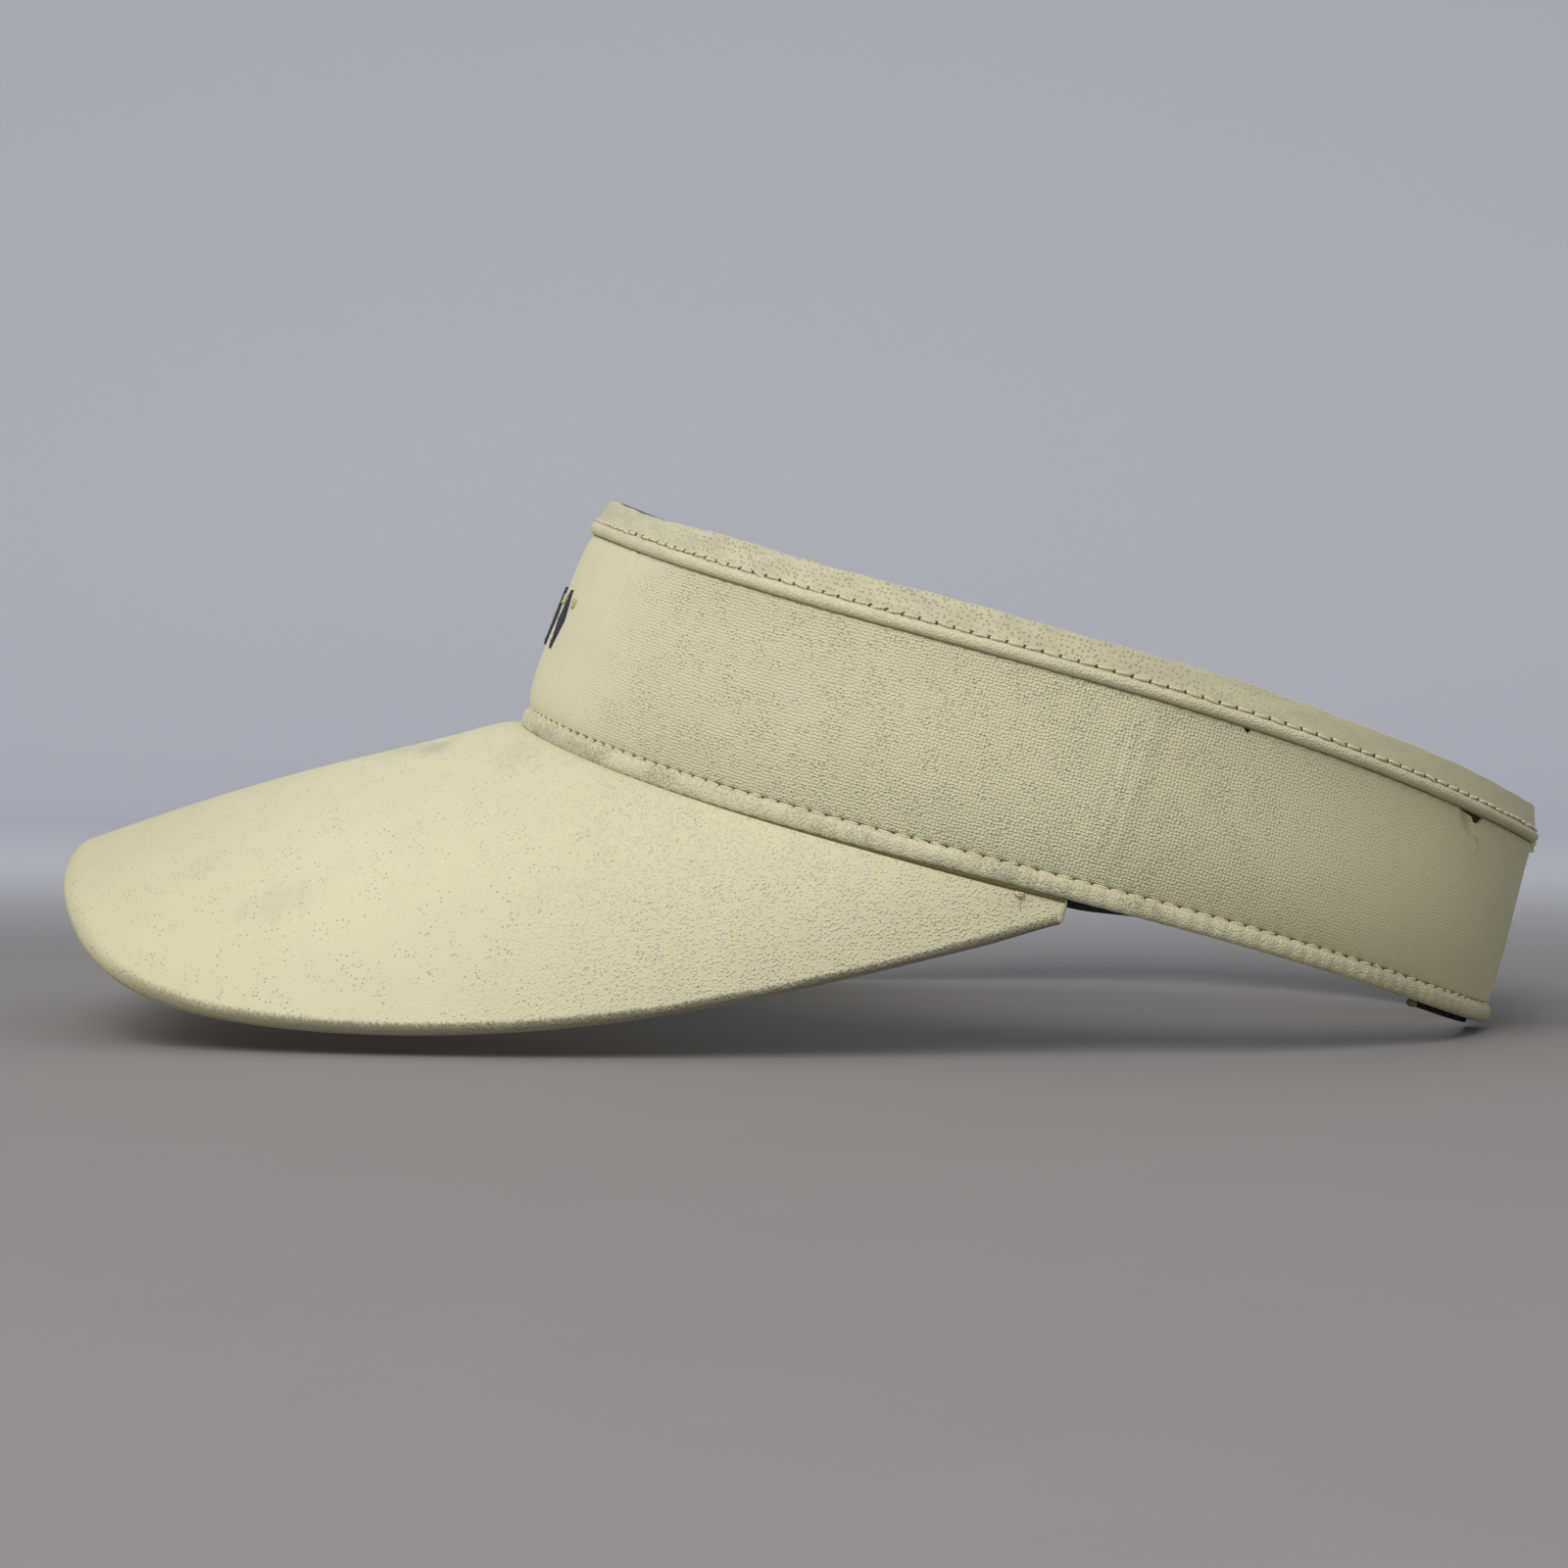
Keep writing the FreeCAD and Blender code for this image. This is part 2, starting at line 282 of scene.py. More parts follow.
def pulled_seam(place, height):
    """The slack cloth round the pulled seam, with a wrinkle running down and backwards from it."""
    centre = pulled_spots[1][0]
    slack = 0.5 * np.exp(-((place - centre) / 2.6) ** 2) * ease(35.0, 39.5, height)
    line = centre - 1.0 + 0.95 * (39.5 - height)
    wrinkle = 1.2 * np.exp(-((place - line) / 0.8) ** 2) * ease(32.0, 37.0, height)
    wrinkle = wrinkle - 0.8 * np.exp(-((place - line + 1.5) / 0.8) ** 2) * ease(33.0, 38.0, height)
    return slack - wrinkle


# ---------------------------------------------------------------- meshes

def add_mesh(name, points, faces, corner_uv, material, crease_angle=40.0):
    """Mesh object through points in the band frame; corner_uv holds one pair per face corner."""
    mesh = bpy.data.meshes.new(name)
    mesh.from_pydata(row_frame(points), [], faces)
    mesh.uv_layers.new(name="cut").data.foreach_set("uv", np.asarray(corner_uv, np.float32).ravel())
    mesh.polygons.foreach_set("use_smooth", np.ones(len(mesh.polygons), bool))
    mesh.set_sharp_from_angle(angle=math.radians(crease_angle))
    mesh.materials.append(material)
    made = bpy.data.objects.new(name, mesh)
    bpy.context.scene.collection.objects.link(made)
    return made


def outward(points, faces):
    """The faces, turned so that their closed surface encloses a positive volume."""
    a, b, c, d = (points[faces[:, k]] for k in range(4))
    volume = np.sum(a * np.cross(b, c)) + np.sum(a * np.cross(c, d))
    return (faces, False) if volume > 0 else (faces[:, ::-1], True)


def loft(name, rows, uv, material, crease_angle=40.0):
    """Closed skin: rows (station, point, xyz) of closed sections, whose point j faces point -1-j."""
    stations, across = rows.shape[:2]
    index = np.arange(stations * across).reshape(stations, across)
    ring = np.concatenate([index, index[:, :1]], axis=1)
    quads = np.stack([ring[:-1, :-1], ring[:-1, 1:], ring[1:, 1:], ring[1:, :-1]], axis=-1)
    uv_quads = np.stack([uv[:-1, :-1], uv[:-1, 1:], uv[1:, 1:], uv[1:, :-1]], axis=-2)
    faces, corners = [quads.reshape(-1, 4)], [uv_quads.reshape(-1, 4, 2)]
    j = np.arange(across // 2 - 1)
    pairs = np.stack([j, j + 1, across - 2 - j, across - 1 - j], axis=-1)
    faces += [index[0][pairs][:, ::-1], index[-1][pairs]]
    corners += [uv[0][pairs][:, ::-1], uv[-1][pairs]]
    faces, corners = np.concatenate(faces), np.concatenate(corners)
    points = rows.reshape(-1, 3)
    faces, turned = outward(points, faces)
    if turned:
        corners = corners[:, ::-1]
    return add_mesh(name, points, faces.tolist(), corners, material, crease_angle)


def section_uv(rows, along):
    """UV in millimetres: place along the piece, and distance round its section."""
    ring = np.concatenate([rows, rows[:, :1]], axis=1)
    steps = np.linalg.norm(np.diff(ring, axis=1), axis=-1)
    round_it = np.concatenate([np.zeros((len(rows), 1)), np.cumsum(steps, axis=1)], axis=1)
    return np.stack([np.broadcast_to(along[:, None], round_it.shape), round_it], axis=-1)


def stations(first, last, step):
    """Evenly spaced places from first to last, about one step apart."""
    return np.linspace(first, last, max(2, int(round(abs(last - first) / step)) + 1))


def band_loft(name, first, last, step, section, material):
    """Piece whose section(place) gives the insets and heights of closed sections."""
    place = stations(first, last, step)
    inset, height = section(place[:, None])
    rows = band_points(place[:, None], inset, height)
    return loft(name, rows, section_uv(rows, place), material)


def quad_corners(grids, axis):
    """The four corners of every quad of some grids, stacked along an axis."""
    near, far = grids[:, :-1], grids[:, 1:]
    return np.stack([near[:, :, :-1], near[:, :, 1:], far[:, :, 1:], far[:, :, :-1]], axis=axis)


def tubes(name, paths, radius, material, sides=6):
    """Threads: paths (thread, point, xyz) with one round section, closed at both ends."""
    paths = np.asarray(paths, float)
    count, length = paths.shape[:2]
    along = np.gradient(paths, axis=1)
    along /= np.linalg.norm(along, axis=-1, keepdims=True)
    steady = np.array([0.31, 0.22, 0.92])
    side = np.cross(along, steady)
    side /= np.linalg.norm(side, axis=-1, keepdims=True)
    other = np.cross(along, side)
    angle = np.arange(sides) * 2 * np.pi / sides
    radius = np.broadcast_to(np.asarray(radius, float), (count, length))[:, :, None, None]
    cosine, sine = np.cos(angle)[:, None], np.sin(angle)[:, None]
    points = paths[:, :, None] + (side[:, :, None] * cosine + other[:, :, None] * sine) * radius
    index = np.arange(count * length * sides).reshape(count, length, sides)
    ring = np.concatenate([index, index[:, :, :1]], axis=2)
    quads = quad_corners(ring, -1)
    run = np.cumsum(np.linalg.norm(np.diff(paths, axis=1), axis=-1), axis=1)
    run = np.concatenate([np.zeros((count, 1)), run], axis=1)
    u = np.broadcast_to(run[:, :, None], (count, length, sides + 1))
    v = np.broadcast_to(np.arange(sides + 1) * 0.4, u.shape)
    uv = np.stack([u, v], axis=-1)
    uv_quads = quad_corners(uv, -2)
    faces = quads.reshape(-1, 4).tolist()
    faces += index[:, 0, ::-1].tolist() + index[:, -1].tolist()
    ends = np.zeros((2 * count * sides, 2))
    corners = np.concatenate([uv_quads.reshape(-1, 2), ends])
    return add_mesh(name, points.reshape(-1, 3), faces, corners, material, 80.0)


# ---------------------------------------------------------------- materials

class Shader:
    """A material in the making: each helper adds a node and returns its output socket."""

    def __init__(self, name, solid=False):
        self.solid = solid
        self.material = bpy.data.materials.new(name)
        self.material.use_nodes = True
        self.tree = self.material.node_tree
        self.surface = self.tree.nodes["Principled BSDF"]

    def add(self, kind, inputs, output=0, **settings):
        made = self.tree.nodes.new("ShaderNode" + kind)
        for key, value in settings.items():
            setattr(made, key, value)
        for key, value in inputs.items():
            self.give(made.inputs[key], value)
        return made.outputs[output]

    def give(self, socket, value):
        if isinstance(value, bpy.types.NodeSocket):
            self.tree.links.new(value, socket)
        else:
            socket.default_value = value

    def cut(self, across=1.0, up=1.0, shift=(0.0, 0.0)):
        """UV in millimetres, scaled and shifted."""
        uv = self.add("UVMap", {}, uv_map="cut")
        return self.add("Mapping", {"Vector": uv, "Location": (*shift, 0), "Scale": (across, up, 1)})

    def grain(self, across=1.0, up=1.0, shift=(0.0, 0.0)):
        """As cut, for fine texture; a solid one reads the object's own place instead."""
        if not self.solid:
            return self.cut(across, up, shift)
        place = self.add("TexCoord", {}, "Object")
        scale = (across / MM, up / MM, up / MM)
        return self.add("Mapping", {"Vector": place, "Location": (*shift, 0), "Scale": scale})

    def math(self, operation, a, b=0.0):
        return self.add("Math", {0: a, 1: b}, operation=operation)

    def times(self, a, b):
        return self.math("MULTIPLY", a, b)

    def sway(self, value, noise, amount):
        """A value moved up and down by a noise round 0.5."""
        return self.math("ADD", value, self.times(self.math("SUBTRACT", noise, 0.5), amount))

    def step(self, value, low, high, to_low=0.0, to_high=1.0):
        """Smooth step of a value between two levels."""
        inputs = {"Value": value, "From Min": low, "From Max": high,
                  "To Min": to_low, "To Max": to_high}
        return self.add("MapRange", inputs, interpolation_type="SMOOTHSTEP")

    def noise(self, vector, detail=2.0, roughness=0.5):
        inputs = {"Vector": vector, "Scale": 1.0, "Detail": detail, "Roughness": roughness}
        return self.add("TexNoise", inputs, noise_dimensions="3D" if self.solid else "2D")

    def cells(self, vector, randomness):
        """Distance to the nearest point of a scattered grid."""
        inputs = {"Vector": vector, "Scale": 1.0, "Randomness": randomness}
        return self.add("TexVoronoi", inputs, voronoi_dimensions="3D" if self.solid else "2D")

    def mix(self, factor, a, b):
        made = self.tree.nodes.new("ShaderNodeMix")
        made.data_type = "RGBA"
        self.give(made.inputs["Factor"], factor)
        self.give(made.inputs["A"], a if isinstance(a, bpy.types.NodeSocket) else (*a, 1.0))
        self.give(made.inputs["B"], b if isinstance(b, bpy.types.NodeSocket) else (*b, 1.0))
        return made.outputs["Result"]

    def finish(self, colour, roughness, height, relief, sheen=0.0, specular=0.3):
        """Colour, roughness and a bump whose height of 1 stands for relief millimetres."""
        normal = self.add("Bump", {"Height": height, "Strength": 1.0, "Distance": relief * MM})
        self.give(self.surface.inputs["Base Color"], colour)
        self.give(self.surface.inputs["Roughness"], roughness)
        self.give(self.surface.inputs["Normal"], normal)
        self.surface.inputs["Specular IOR Level"].default_value = specular
        self.surface.inputs["Sheen Weight"].default_value = sheen
        self.surface.inputs["Sheen Roughness"].default_value = 0.5
        return self.material


lemon = (0.68, 0.65, 0.43)
# painted highlight colour
lemon_highlight = (0.80, 0.77, 0.56)
lemon_deep = (0.50, 0.465, 0.26)
lemon_shade = (0.46, 0.43, 0.25)
# painted shade colour, for hollows, holes and the groove of a seam
hollow_shade = (0.115, 0.095, 0.018)
dust = (0.35, 0.325, 0.255)
grime = (0.20, 0.18, 0.13)
rim_grime = (0.12, 0.105, 0.07)
charcoal = (0.022, 0.024, 0.028)


def grain_share(s, axis, rise, fall=None):
    """How strongly the cloth's grain shows: full between rise and fall, measured along one axis."""
    along = s.math("ABSOLUTE", s.add("SeparateXYZ", {"Vector": s.cut()}, axis))
    share = s.step(along, rise[0], rise[1], rise[2], 1.0)
    if fall:
        share = s.times(share, s.step(along, fall[0], fall[1], 1.0, fall[2]))
    return share


def crepe(name, axis, rise, fall=None, gap_shade=0.6, regular=0.4, dirt=0.0, back_shade=None,
          spots=(), on_brim=False, soiled_rim=False):
    """Pale crepe: close rows of small beads over fine threads, stray pits and soft soiling; the beads
    carry painted highlights, the gaps between them and the pits painted shade.
    """
    s = Shader(name, solid=on_brim)
    share = grain_share(s, axis, rise, fall)
    patches = s.step(s.noise(s.grain(0.34, 0.3, (7.0, 3.0)), 3.0, 0.6), 0.3, 0.62, 0.85, 1.0)
    strength = s.times(share, patches)
    cell = s.cells(s.grain(1.4, 1.55), regular)
    bead = s.times(s.step(cell, 0.5, 0.1), strength)
    gap = s.times(s.step(cell, 0.45, 0.75), strength)
    stray = s.step(s.noise(s.grain(0.2, 0.2, (2.0, 5.0)), 2.0), 0.42, 0.6, 0.1, 1.0)
    if not on_brim:
        stray = s.times(stray, share)
    spot = s.cells(s.grain(0.9, 1.0, (5.0, 1.0)), 1.0)
    pit = s.times(s.step(spot, 0.22, 0.1), stray)
    thread = s.noise(s.grain(2.6, 0.3), 2.0, 0.55)
    wander = s.noise(s.grain(0.09, 0.09), 2.0)
    # painted shade in the gaps between beads and in the pits, painted highlights on the beads
    colour = s.mix(s.times(gap, gap_shade), lemon, lemon_shade)
    colour = s.mix(s.times(bead, 0.75), colour, lemon_highlight)
    colour = s.mix(s.times(pit, 0.4), colour, lemon_shade)
    colour = s.mix(s.step(wander, 0.35, 0.75, 0.0, 0.06 + dirt), colour, dust)
    if back_shade:
        colour = shade_behind_crease(s, colour, *back_shade)
    for centre, size, amount in spots:
        colour = smudge(s, colour, centre, size, amount)
    if soiled_rim:
        colour = rim_soil(s, colour)
    height = s.math("SUBTRACT", s.math("ADD", bead, s.times(thread, 0.12)), pit)
    roughness = s.step(cell, 0.1, 0.7, 0.72, 0.9)
    return s.finish(colour, roughness, height, 0.22, sheen=0.12)


def shade_behind_crease(s, colour, first, last):
    """Painted shade: the cloth darkens towards the back of the band, which turns away from the light;
    first and last are places.
    """
    along = s.add("SeparateXYZ", {"Vector": s.cut()}, 0)
    away = s.math("ABSOLUTE", along)
    colour = s.mix(s.step(away, first, last, 0.0, 0.22), colour, lemon_shade)
    return s.mix(s.step(away, last, band_end - 15.0, 0.0, 0.55), colour, lemon_shade)


def smudge(s, colour, centre, size, strength):
    """A soft uneven grey mark, at a point of the cut cloth."""
    moved = s.cut(1 / size[0], 1 / size[1], (-centre[0] / size[0], -centre[1] / size[1]))
    distance = s.add("VectorMath", {0: moved}, 1, operation="LENGTH")
    ragged = s.noise(s.cut(0.22, 0.3, centre), 4.0, 0.65)
    reach = s.sway(distance, ragged, 1.6)
    return s.mix(s.step(reach, 1.0, 0.1, 0.0, strength), colour, dust)


def rim_soil(s, colour):
    """Worn soil over the lower part of the rim's roll, least at the tip, which is yellower; further
    round the roll the colour goes over to the darker shade colour.
    """
    past = s.add("SeparateXYZ", {"Vector": s.add("UVMap", {}, uv_map="edge")}, 1)
    ragged = s.noise(s.cut(1.6, 1.6), 4.0, 0.85)
    broad = s.noise(s.cut(0.07, 0.07, (4.0, 4.0)), 1.0)
    reach = s.sway(past, ragged, 7.0)
    reach = s.sway(reach, broad, 1.6)
    ahead = s.add("SeparateXYZ", {"Vector": s.cut()}, 1)
    off_tip = s.step(ahead, -190.0, -160.0, 0.2, 1.0)
    soiled = s.times(s.step(reach, -2.2, 0.6, 0.0, 0.85), off_tip)
    colour = s.mix(soiled, colour, rim_grime)
    colour = s.mix(s.step(past, 1.0, 2.0, 0.0, 0.6), colour, lemon_shade)
    return s.mix(s.step(ahead, -120.0, -195.0, 0.0, 0.45), colour, lemon_deep)


def rolled_cloth(name, soil, groove_shade=0.0):
    """The cloth where it is rolled over a cord or a seam, with soft cross ridges and worn soil; the
    ridges' hollows carry painted shade, the grain's bumps painted highlights, and a seam's cloth can be
    darkened as painted shade in its groove.
    """
    s = Shader(name)
    ridges = s.noise(s.cut(0.8, 0.3), 2.0, 0.6)
    cell = s.cells(s.cut(1.9, 1.9), 0.9)
    grain = s.noise(s.cut(1.5, 1.5), 4.0, 0.75)
    worn = s.noise(s.cut(0.09, 0.15, (3.0, 9.0)), 1.0)
    worn = s.sway(worn, grain, 2.0)
    # painted shade in the ridges' hollows and painted highlights on the grain's bumps
    colour = s.mix(s.step(ridges, 0.6, 0.3, 0.0, 0.2), lemon, lemon_shade)
    colour = s.mix(s.step(cell, 0.45, 0.1, 0.0, 0.35), colour, lemon_highlight)
    colour = s.mix(s.step(worn, 0.3, 1.15, 0.0, soil), colour, grime)
    colour = shade_behind_crease(s, colour, 120.0, 200.0)
    # painted shade: a seam's cloth darkened as the shade in its groove
    colour = s.mix(groove_shade, colour, hollow_shade)
    rough_grain = s.times(s.step(cell, 0.6, 0.1), 0.6)
    fine = s.math("ADD", rough_grain, s.times(grain, 0.5))
    height = s.math("ADD", s.times(ridges, 0.6), fine)
    return s.finish(colour, s.step(grain, 0.2, 0.8, 0.75, 0.92), height, 0.2, sheen=0.12)


def facing_knit(name):
    """Fine knit with small scattered holes, clearest over the side of the head; the holes are painted
    dark as the shade inside them.
    """
    s = Shader(name)
    share = grain_share(s, 0, (35.0, 75.0, 0.2), (150.0, 225.0, 0.1))
    patches = s.step(s.noise(s.cut(0.3, 0.5), 2.0), 0.3, 0.6, 0.4, 1.0)
    holes = s.cells(s.cut(1 / 1.15, 1 / 1.0), 0.7)
    hole = s.times(s.step(holes, 0.32, 0.1), s.times(share, patches))
    grain = s.noise(s.cut(2.2, 2.2), 3.0, 0.6)
    broad = s.noise(s.cut(0.12, 0.4), 2.0)
    # painted shade inside the holes
    colour = s.mix(s.times(hole, 0.45), lemon, hollow_shade)
    colour = s.mix(s.step(broad, 0.3, 0.7, 0.25, 0.45), colour, dust)
    colour = shade_behind_crease(s, colour, 120.0, 200.0)
    height = s.math("SUBTRACT", s.times(grain, 0.4), hole)
    return s.finish(colour, s.step(grain, 0.2, 0.8, 0.8, 0.95), height, 0.12, sheen=0.12)


def plain_cloth(name, light, dark, pitch, relief, sheen=0.1, rough=(0.8, 0.95)):
    """Close knit or brushed cloth in two tones of one colour."""
    s = Shader(name)
    loops = s.cells(s.cut(1 / pitch, 1 / pitch), 0.45)
    grain = s.noise(s.cut(1.7 / pitch, 1.7 / pitch), 4.0, 0.65)
    colour = s.mix(s.step(loops, 0.1, 0.6), light, dark)
    colour = s.mix(s.step(grain, 0.35, 0.7, 0.0, 0.6), colour, dark)
    height = s.math("SUBTRACT", grain, s.times(loops, 0.5))
    return s.finish(colour, s.step(grain, 0.2, 0.8, *rough), height, relief, sheen=sheen)


def twisted_thread(name, light, dark, specular=0.4):
    """Sewing or embroidery thread with a slanting twist."""
    s = Shader(name)
    inputs = {"Vector": s.cut(1.0, 0.8), "Scale": 1.1, "Distortion": 0.6, "Detail": 1.0}
    wave = s.add("TexWave", inputs, 1, bands_direction="DIAGONAL")
    fuzz = s.noise(s.cut(3.0, 3.0), 2.0)
    colour = s.mix(s.step(wave, 0.15, 0.8), dark, light)
    return s.finish(colour, s.step(fuzz, 0.2, 0.8, 0.5, 0.75), wave, 0.06, specular=specular)


brim_spots = [
    # middle, half size and strength of each mark on the brim's cloth
    ((20.0, -112.0), (10.0, 6.0), 0.45),
    ((14.0, -120.0), (9.0, 9.0), 0.22),
    ((41.0, -92.0), (12.0, 7.0), 0.22),
    ((57.0, -155.0), (7.0, 6.0), 0.16),
    ((77.0, -138.0), (7.0, 12.0), 0.2),
]
materials = {
    "brim": crepe("crepe_brim", 1, (125.0, 55.0, 0.25), gap_shade=0.25, regular=0.9, spots=brim_spots,
                  on_brim=True, soiled_rim=True),
    "under": crepe("crepe_under", 1, (105.0, 45.0, 0.3), gap_shade=0.3, regular=0.9, dirt=0.05,
                   on_brim=True),
    "panel": crepe("crepe_panel", 0, (35.0, 75.0, 0.15), (165.0, 235.0, 0.2), back_shade=(166.0, 176.0)),
    "hem": rolled_cloth("hem_roll_cloth", 0.7),
    "piping": rolled_cloth("piping_cloth", 0.15),
    "rim": rolled_cloth("rim_cloth", 0.45),
    # painted shade: the seam cloth is darkened for the groove between hem and brim
    "seam": rolled_cloth("seam_cloth", 0.1, groove_shade=0.95),
    "facing": facing_knit("facing_knit"),
    "sweatband": plain_cloth("sweatband_knit", (0.035, 0.038, 0.045), charcoal, 0.8, 0.2, 0.3),
    "foam": plain_cloth("open_foam", (0.70, 0.69, 0.62), (0.52, 0.51, 0.44), 0.6, 0.15, 0.0),
    "buckram": plain_cloth("buckram_weave", (0.72, 0.71, 0.66), (0.5, 0.49, 0.44), 1.2, 0.2, 0.0),
    "board": plain_cloth("board_plastic", (0.62, 0.61, 0.58), (0.56, 0.55, 0.52), 2.5, 0.03, 0.0,
                         (0.4, 0.55)),
    "hook": plain_cloth("hook_tape_cloth", (0.05, 0.05, 0.055), (0.015, 0.015, 0.017), 1.1, 0.35, 0.0),
    "loop": plain_cloth("loop_tape_cloth", (0.045, 0.045, 0.05), (0.018, 0.018, 0.02), 0.5, 0.3, 0.4),
    "thread": twisted_thread("sewing_thread", (0.80, 0.77, 0.56), (0.50, 0.46, 0.28)),
    "navy": twisted_thread("motif_thread_navy", (0.045, 0.05, 0.085), (0.015, 0.018, 0.035), 0.5),
    "gold": twisted_thread("motif_thread_gold", (0.72, 0.63, 0.36), (0.48, 0.38, 0.16), 0.5),
    # painted shade for the grooves under the piping and above the hem
    "ditch": plain_cloth("seam_ditch_shade", (0.34, 0.29, 0.13), (0.22, 0.185, 0.075), 0.6, 0.05, 0.0),
    # painted shade for the needle holes and the pulled places
    "hole": plain_cloth("needle_hole_shade", (0.10, 0.085, 0.045), (0.045, 0.038, 0.02), 0.5, 0.05, 0.0),
}


# ---------------------------------------------------------------- sections of the band

def paired(outer, inner):
    """Closed section: up the outer side, down the inner side."""
    return np.concatenate(np.broadcast_arrays(outer, inner[..., ::-1]), axis=-1)


def wall_section(layer, points=24, detail=False):
    """Section of a layer that follows the panel's outer face."""
    first_depth, last_depth, low, high = layer

    def section(place):
        bottom = low(place) if callable(low) else low + 0 * place
        top = high(place) if callable(high) else high + 0 * place
        height = bottom + (top - bottom) * np.linspace(0, 1, points)
        outer = panel_inset(place, height, detail)
        plain = panel_inset(place, height, False)
        depth_out = first_depth(place, height) if callable(first_depth) else first_depth
        depth_in = last_depth(place, height) if callable(last_depth) else last_depth
        return paired(outer + depth_out, plain + depth_in), paired(height, height)

    return section


def panel_top(place):
    """The panel's top edge lies behind the piping, except where its seam has come away."""
    return piping_seam + 0.75 - pulled_drop(place)


panel_section = wall_section((0.0, panel_thickness, hem_seam - 0.35, panel_top), 72, detail=True)


def round_section(place, centre_inset, centre_height, half_inset, half_height, power, points):
    """Closed superellipse, its first point at the bottom."""
    angle = (np.arange(points) + 0.5) * 2 * np.pi / points - np.pi / 2
    reach = (np.abs(np.cos(angle)) ** power + np.abs(np.sin(angle)) ** power) ** (-1 / power)
    inset = centre_inset - half_inset * reach * np.cos(angle)
    height = centre_height + half_height * reach * np.sin(angle)
    return inset + 0 * place, height + 0 * place


def hem_section(place):
    """The padded roll: pinched at every stitch."""
    pinch = 0.5 + 0.5 * np.cos(2 * np.pi * place / stitch_pitch)
    swell = 0.10 * np.sin(place / 2.3) * np.sin(place / 7.9)
    inset = 1.25 + end_curl(place) + 0.05 * pinch
    half_inset, half_height = 1.85 - 0.14 * pinch + swell, 2.0 - 0.07 * pinch
    return round_section(place, inset, 1.95, half_inset, half_height, 2.5, 30)


def piping_section(place):
    """The cord roll, a little uneven."""
    uneven = 0.07 * np.sin(place / 3.1) * np.sin(place / 5.3 + 1.0)
    kink = 0.35 * np.exp(-((np.abs(place) - 44.5) / 1.2) ** 2)
    radius = piping_radius * (1 + uneven)
    turned_in = ease(band_end - 5.0, band_end, np.abs(place))
    inset = 1.4 + end_curl(place) + kink + 1.8 * turned_in
    height = piping_centre + 0.4 * uneven - 0.6 * turned_in
    return round_section(place, inset, height, radius, radius, 2.0, 20)


def facing_inset(place, height):
    """Inset of the facing's outer face."""
    share = (height - facing_seam) / (facing_top - facing_seam)
    near_seam = np.exp(-((height - facing_seam) / 0.8) ** 2)
    ripple = 0.10 * np.cos(2 * np.pi * place / stitch_pitch) * near_seam
    lean_in = (facing_top_inset - facing_seam_inset) * share
    return facing_seam_inset + lean_in + ripple + end_curl(place)


def facing_section(place):
    """The strip above the piping, folded over at the top and tucked behind."""
    share = np.linspace(0, 1, 14)
    rounding = 0.55 * ease(0.86, 1.0, share)
    waver = 0.12 * np.sin(place / 9.0) + 0.08 * np.sin(place / 2.1)
    away = np.abs(place)
    rounded_end = 1.8 * ease(band_end - 3.0, band_end + 1.5, away)
    top = facing_top + waver + 0.8 * ease(40.0, 80.0, away) - rounded_end
    foot = facing_seam - 0.9
    height = foot + (top - foot) * np.sin(share * np.pi / 2) ** 1.1
    outer = facing_inset(place, height) + rounding
    inner = facing_inset(place, height) + 1.9 - rounding
    return paired(outer, inner), paired(height, height)


def sweatband_low(place):
    """The sweatband hangs lowest just behind the brim's corners."""
    away = np.abs(place)
    return 0.6 - 2.3 * ease(148.0, 163.0, away) + 1.7 * ease(165.0, 182.0, away)


def sweatband_top(place):
    """It stands just above the facing at the front."""
    return 47.0 + 0.95 * (1 - ease(26.0, 54.0, np.abs(place)))


def sweatband_out(place, height):
    """Outer depth of the sweatband, drawn to the facing at its top edge."""
    depth = 4.25 - 1.1 * ease(150.0, 176.0, np.abs(place))
    return depth - 1.0 * ease(42.0, 46.5, height)


def sweatband_in(place, height):
    return sweatband_out(place, height) + 1.0


sweatband_section = wall_section((sweatband_out, sweatband_in, sweatband_low, sweatband_top), 40)


# ---------------------------------------------------------------- placing the pieces

side_bodies = {"left": "left_side", "right": "right_side"}
signs = {"left": 1.0, "right": -1.0}


def bend(piece):
    """Bakes a side piece's transform into its mesh."""
    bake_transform(piece)
    return piece


def finish_piece(piece, nodes=(), body=None, side=None):
    """Hides the CAD nodes the piece stands for, then attaches it to the body it rides, or for a side
    piece bakes its transform.
    """
    if nodes:
        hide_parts(*nodes)
    return bend(piece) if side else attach(piece, body)


strip_kinds = [
    # name, section, step, material, slot, CAD node, flat width of a sheet (None where padded)
    ("panel", panel_section, 0.6, "panel", "shell_fabric", "band_panel", 38.5),
    ("hem_roll", hem_section, 0.5, "hem", "shell_fabric", "hem", None),
    ("piping_roll", piping_section, 0.7, "piping", "shell_fabric", "piping", None),
    ("facing_strip", facing_section, 0.7, "facing", "facing_mesh", "facing", 7.0),
    ("core_foam", wall_section(core_layer), 2.0, "foam", "foam", "band_core", None),
]
for kind, section, step, material, slot, node, width in strip_kinds:
    cloth = materials[material]
    made = band_loft(kind + "_front", -front_end, front_end, step, section, cloth)
    finish_piece(made, [node + "_front"], "front")
    for side, sign in signs.items():
        made = band_loft(f"{kind}_{side}", sign * front_end, sign * band_end, step, section, cloth)
        nodes = [node + "_front", f"{node}_{side}"]
        finish_piece(made, nodes, side=side)

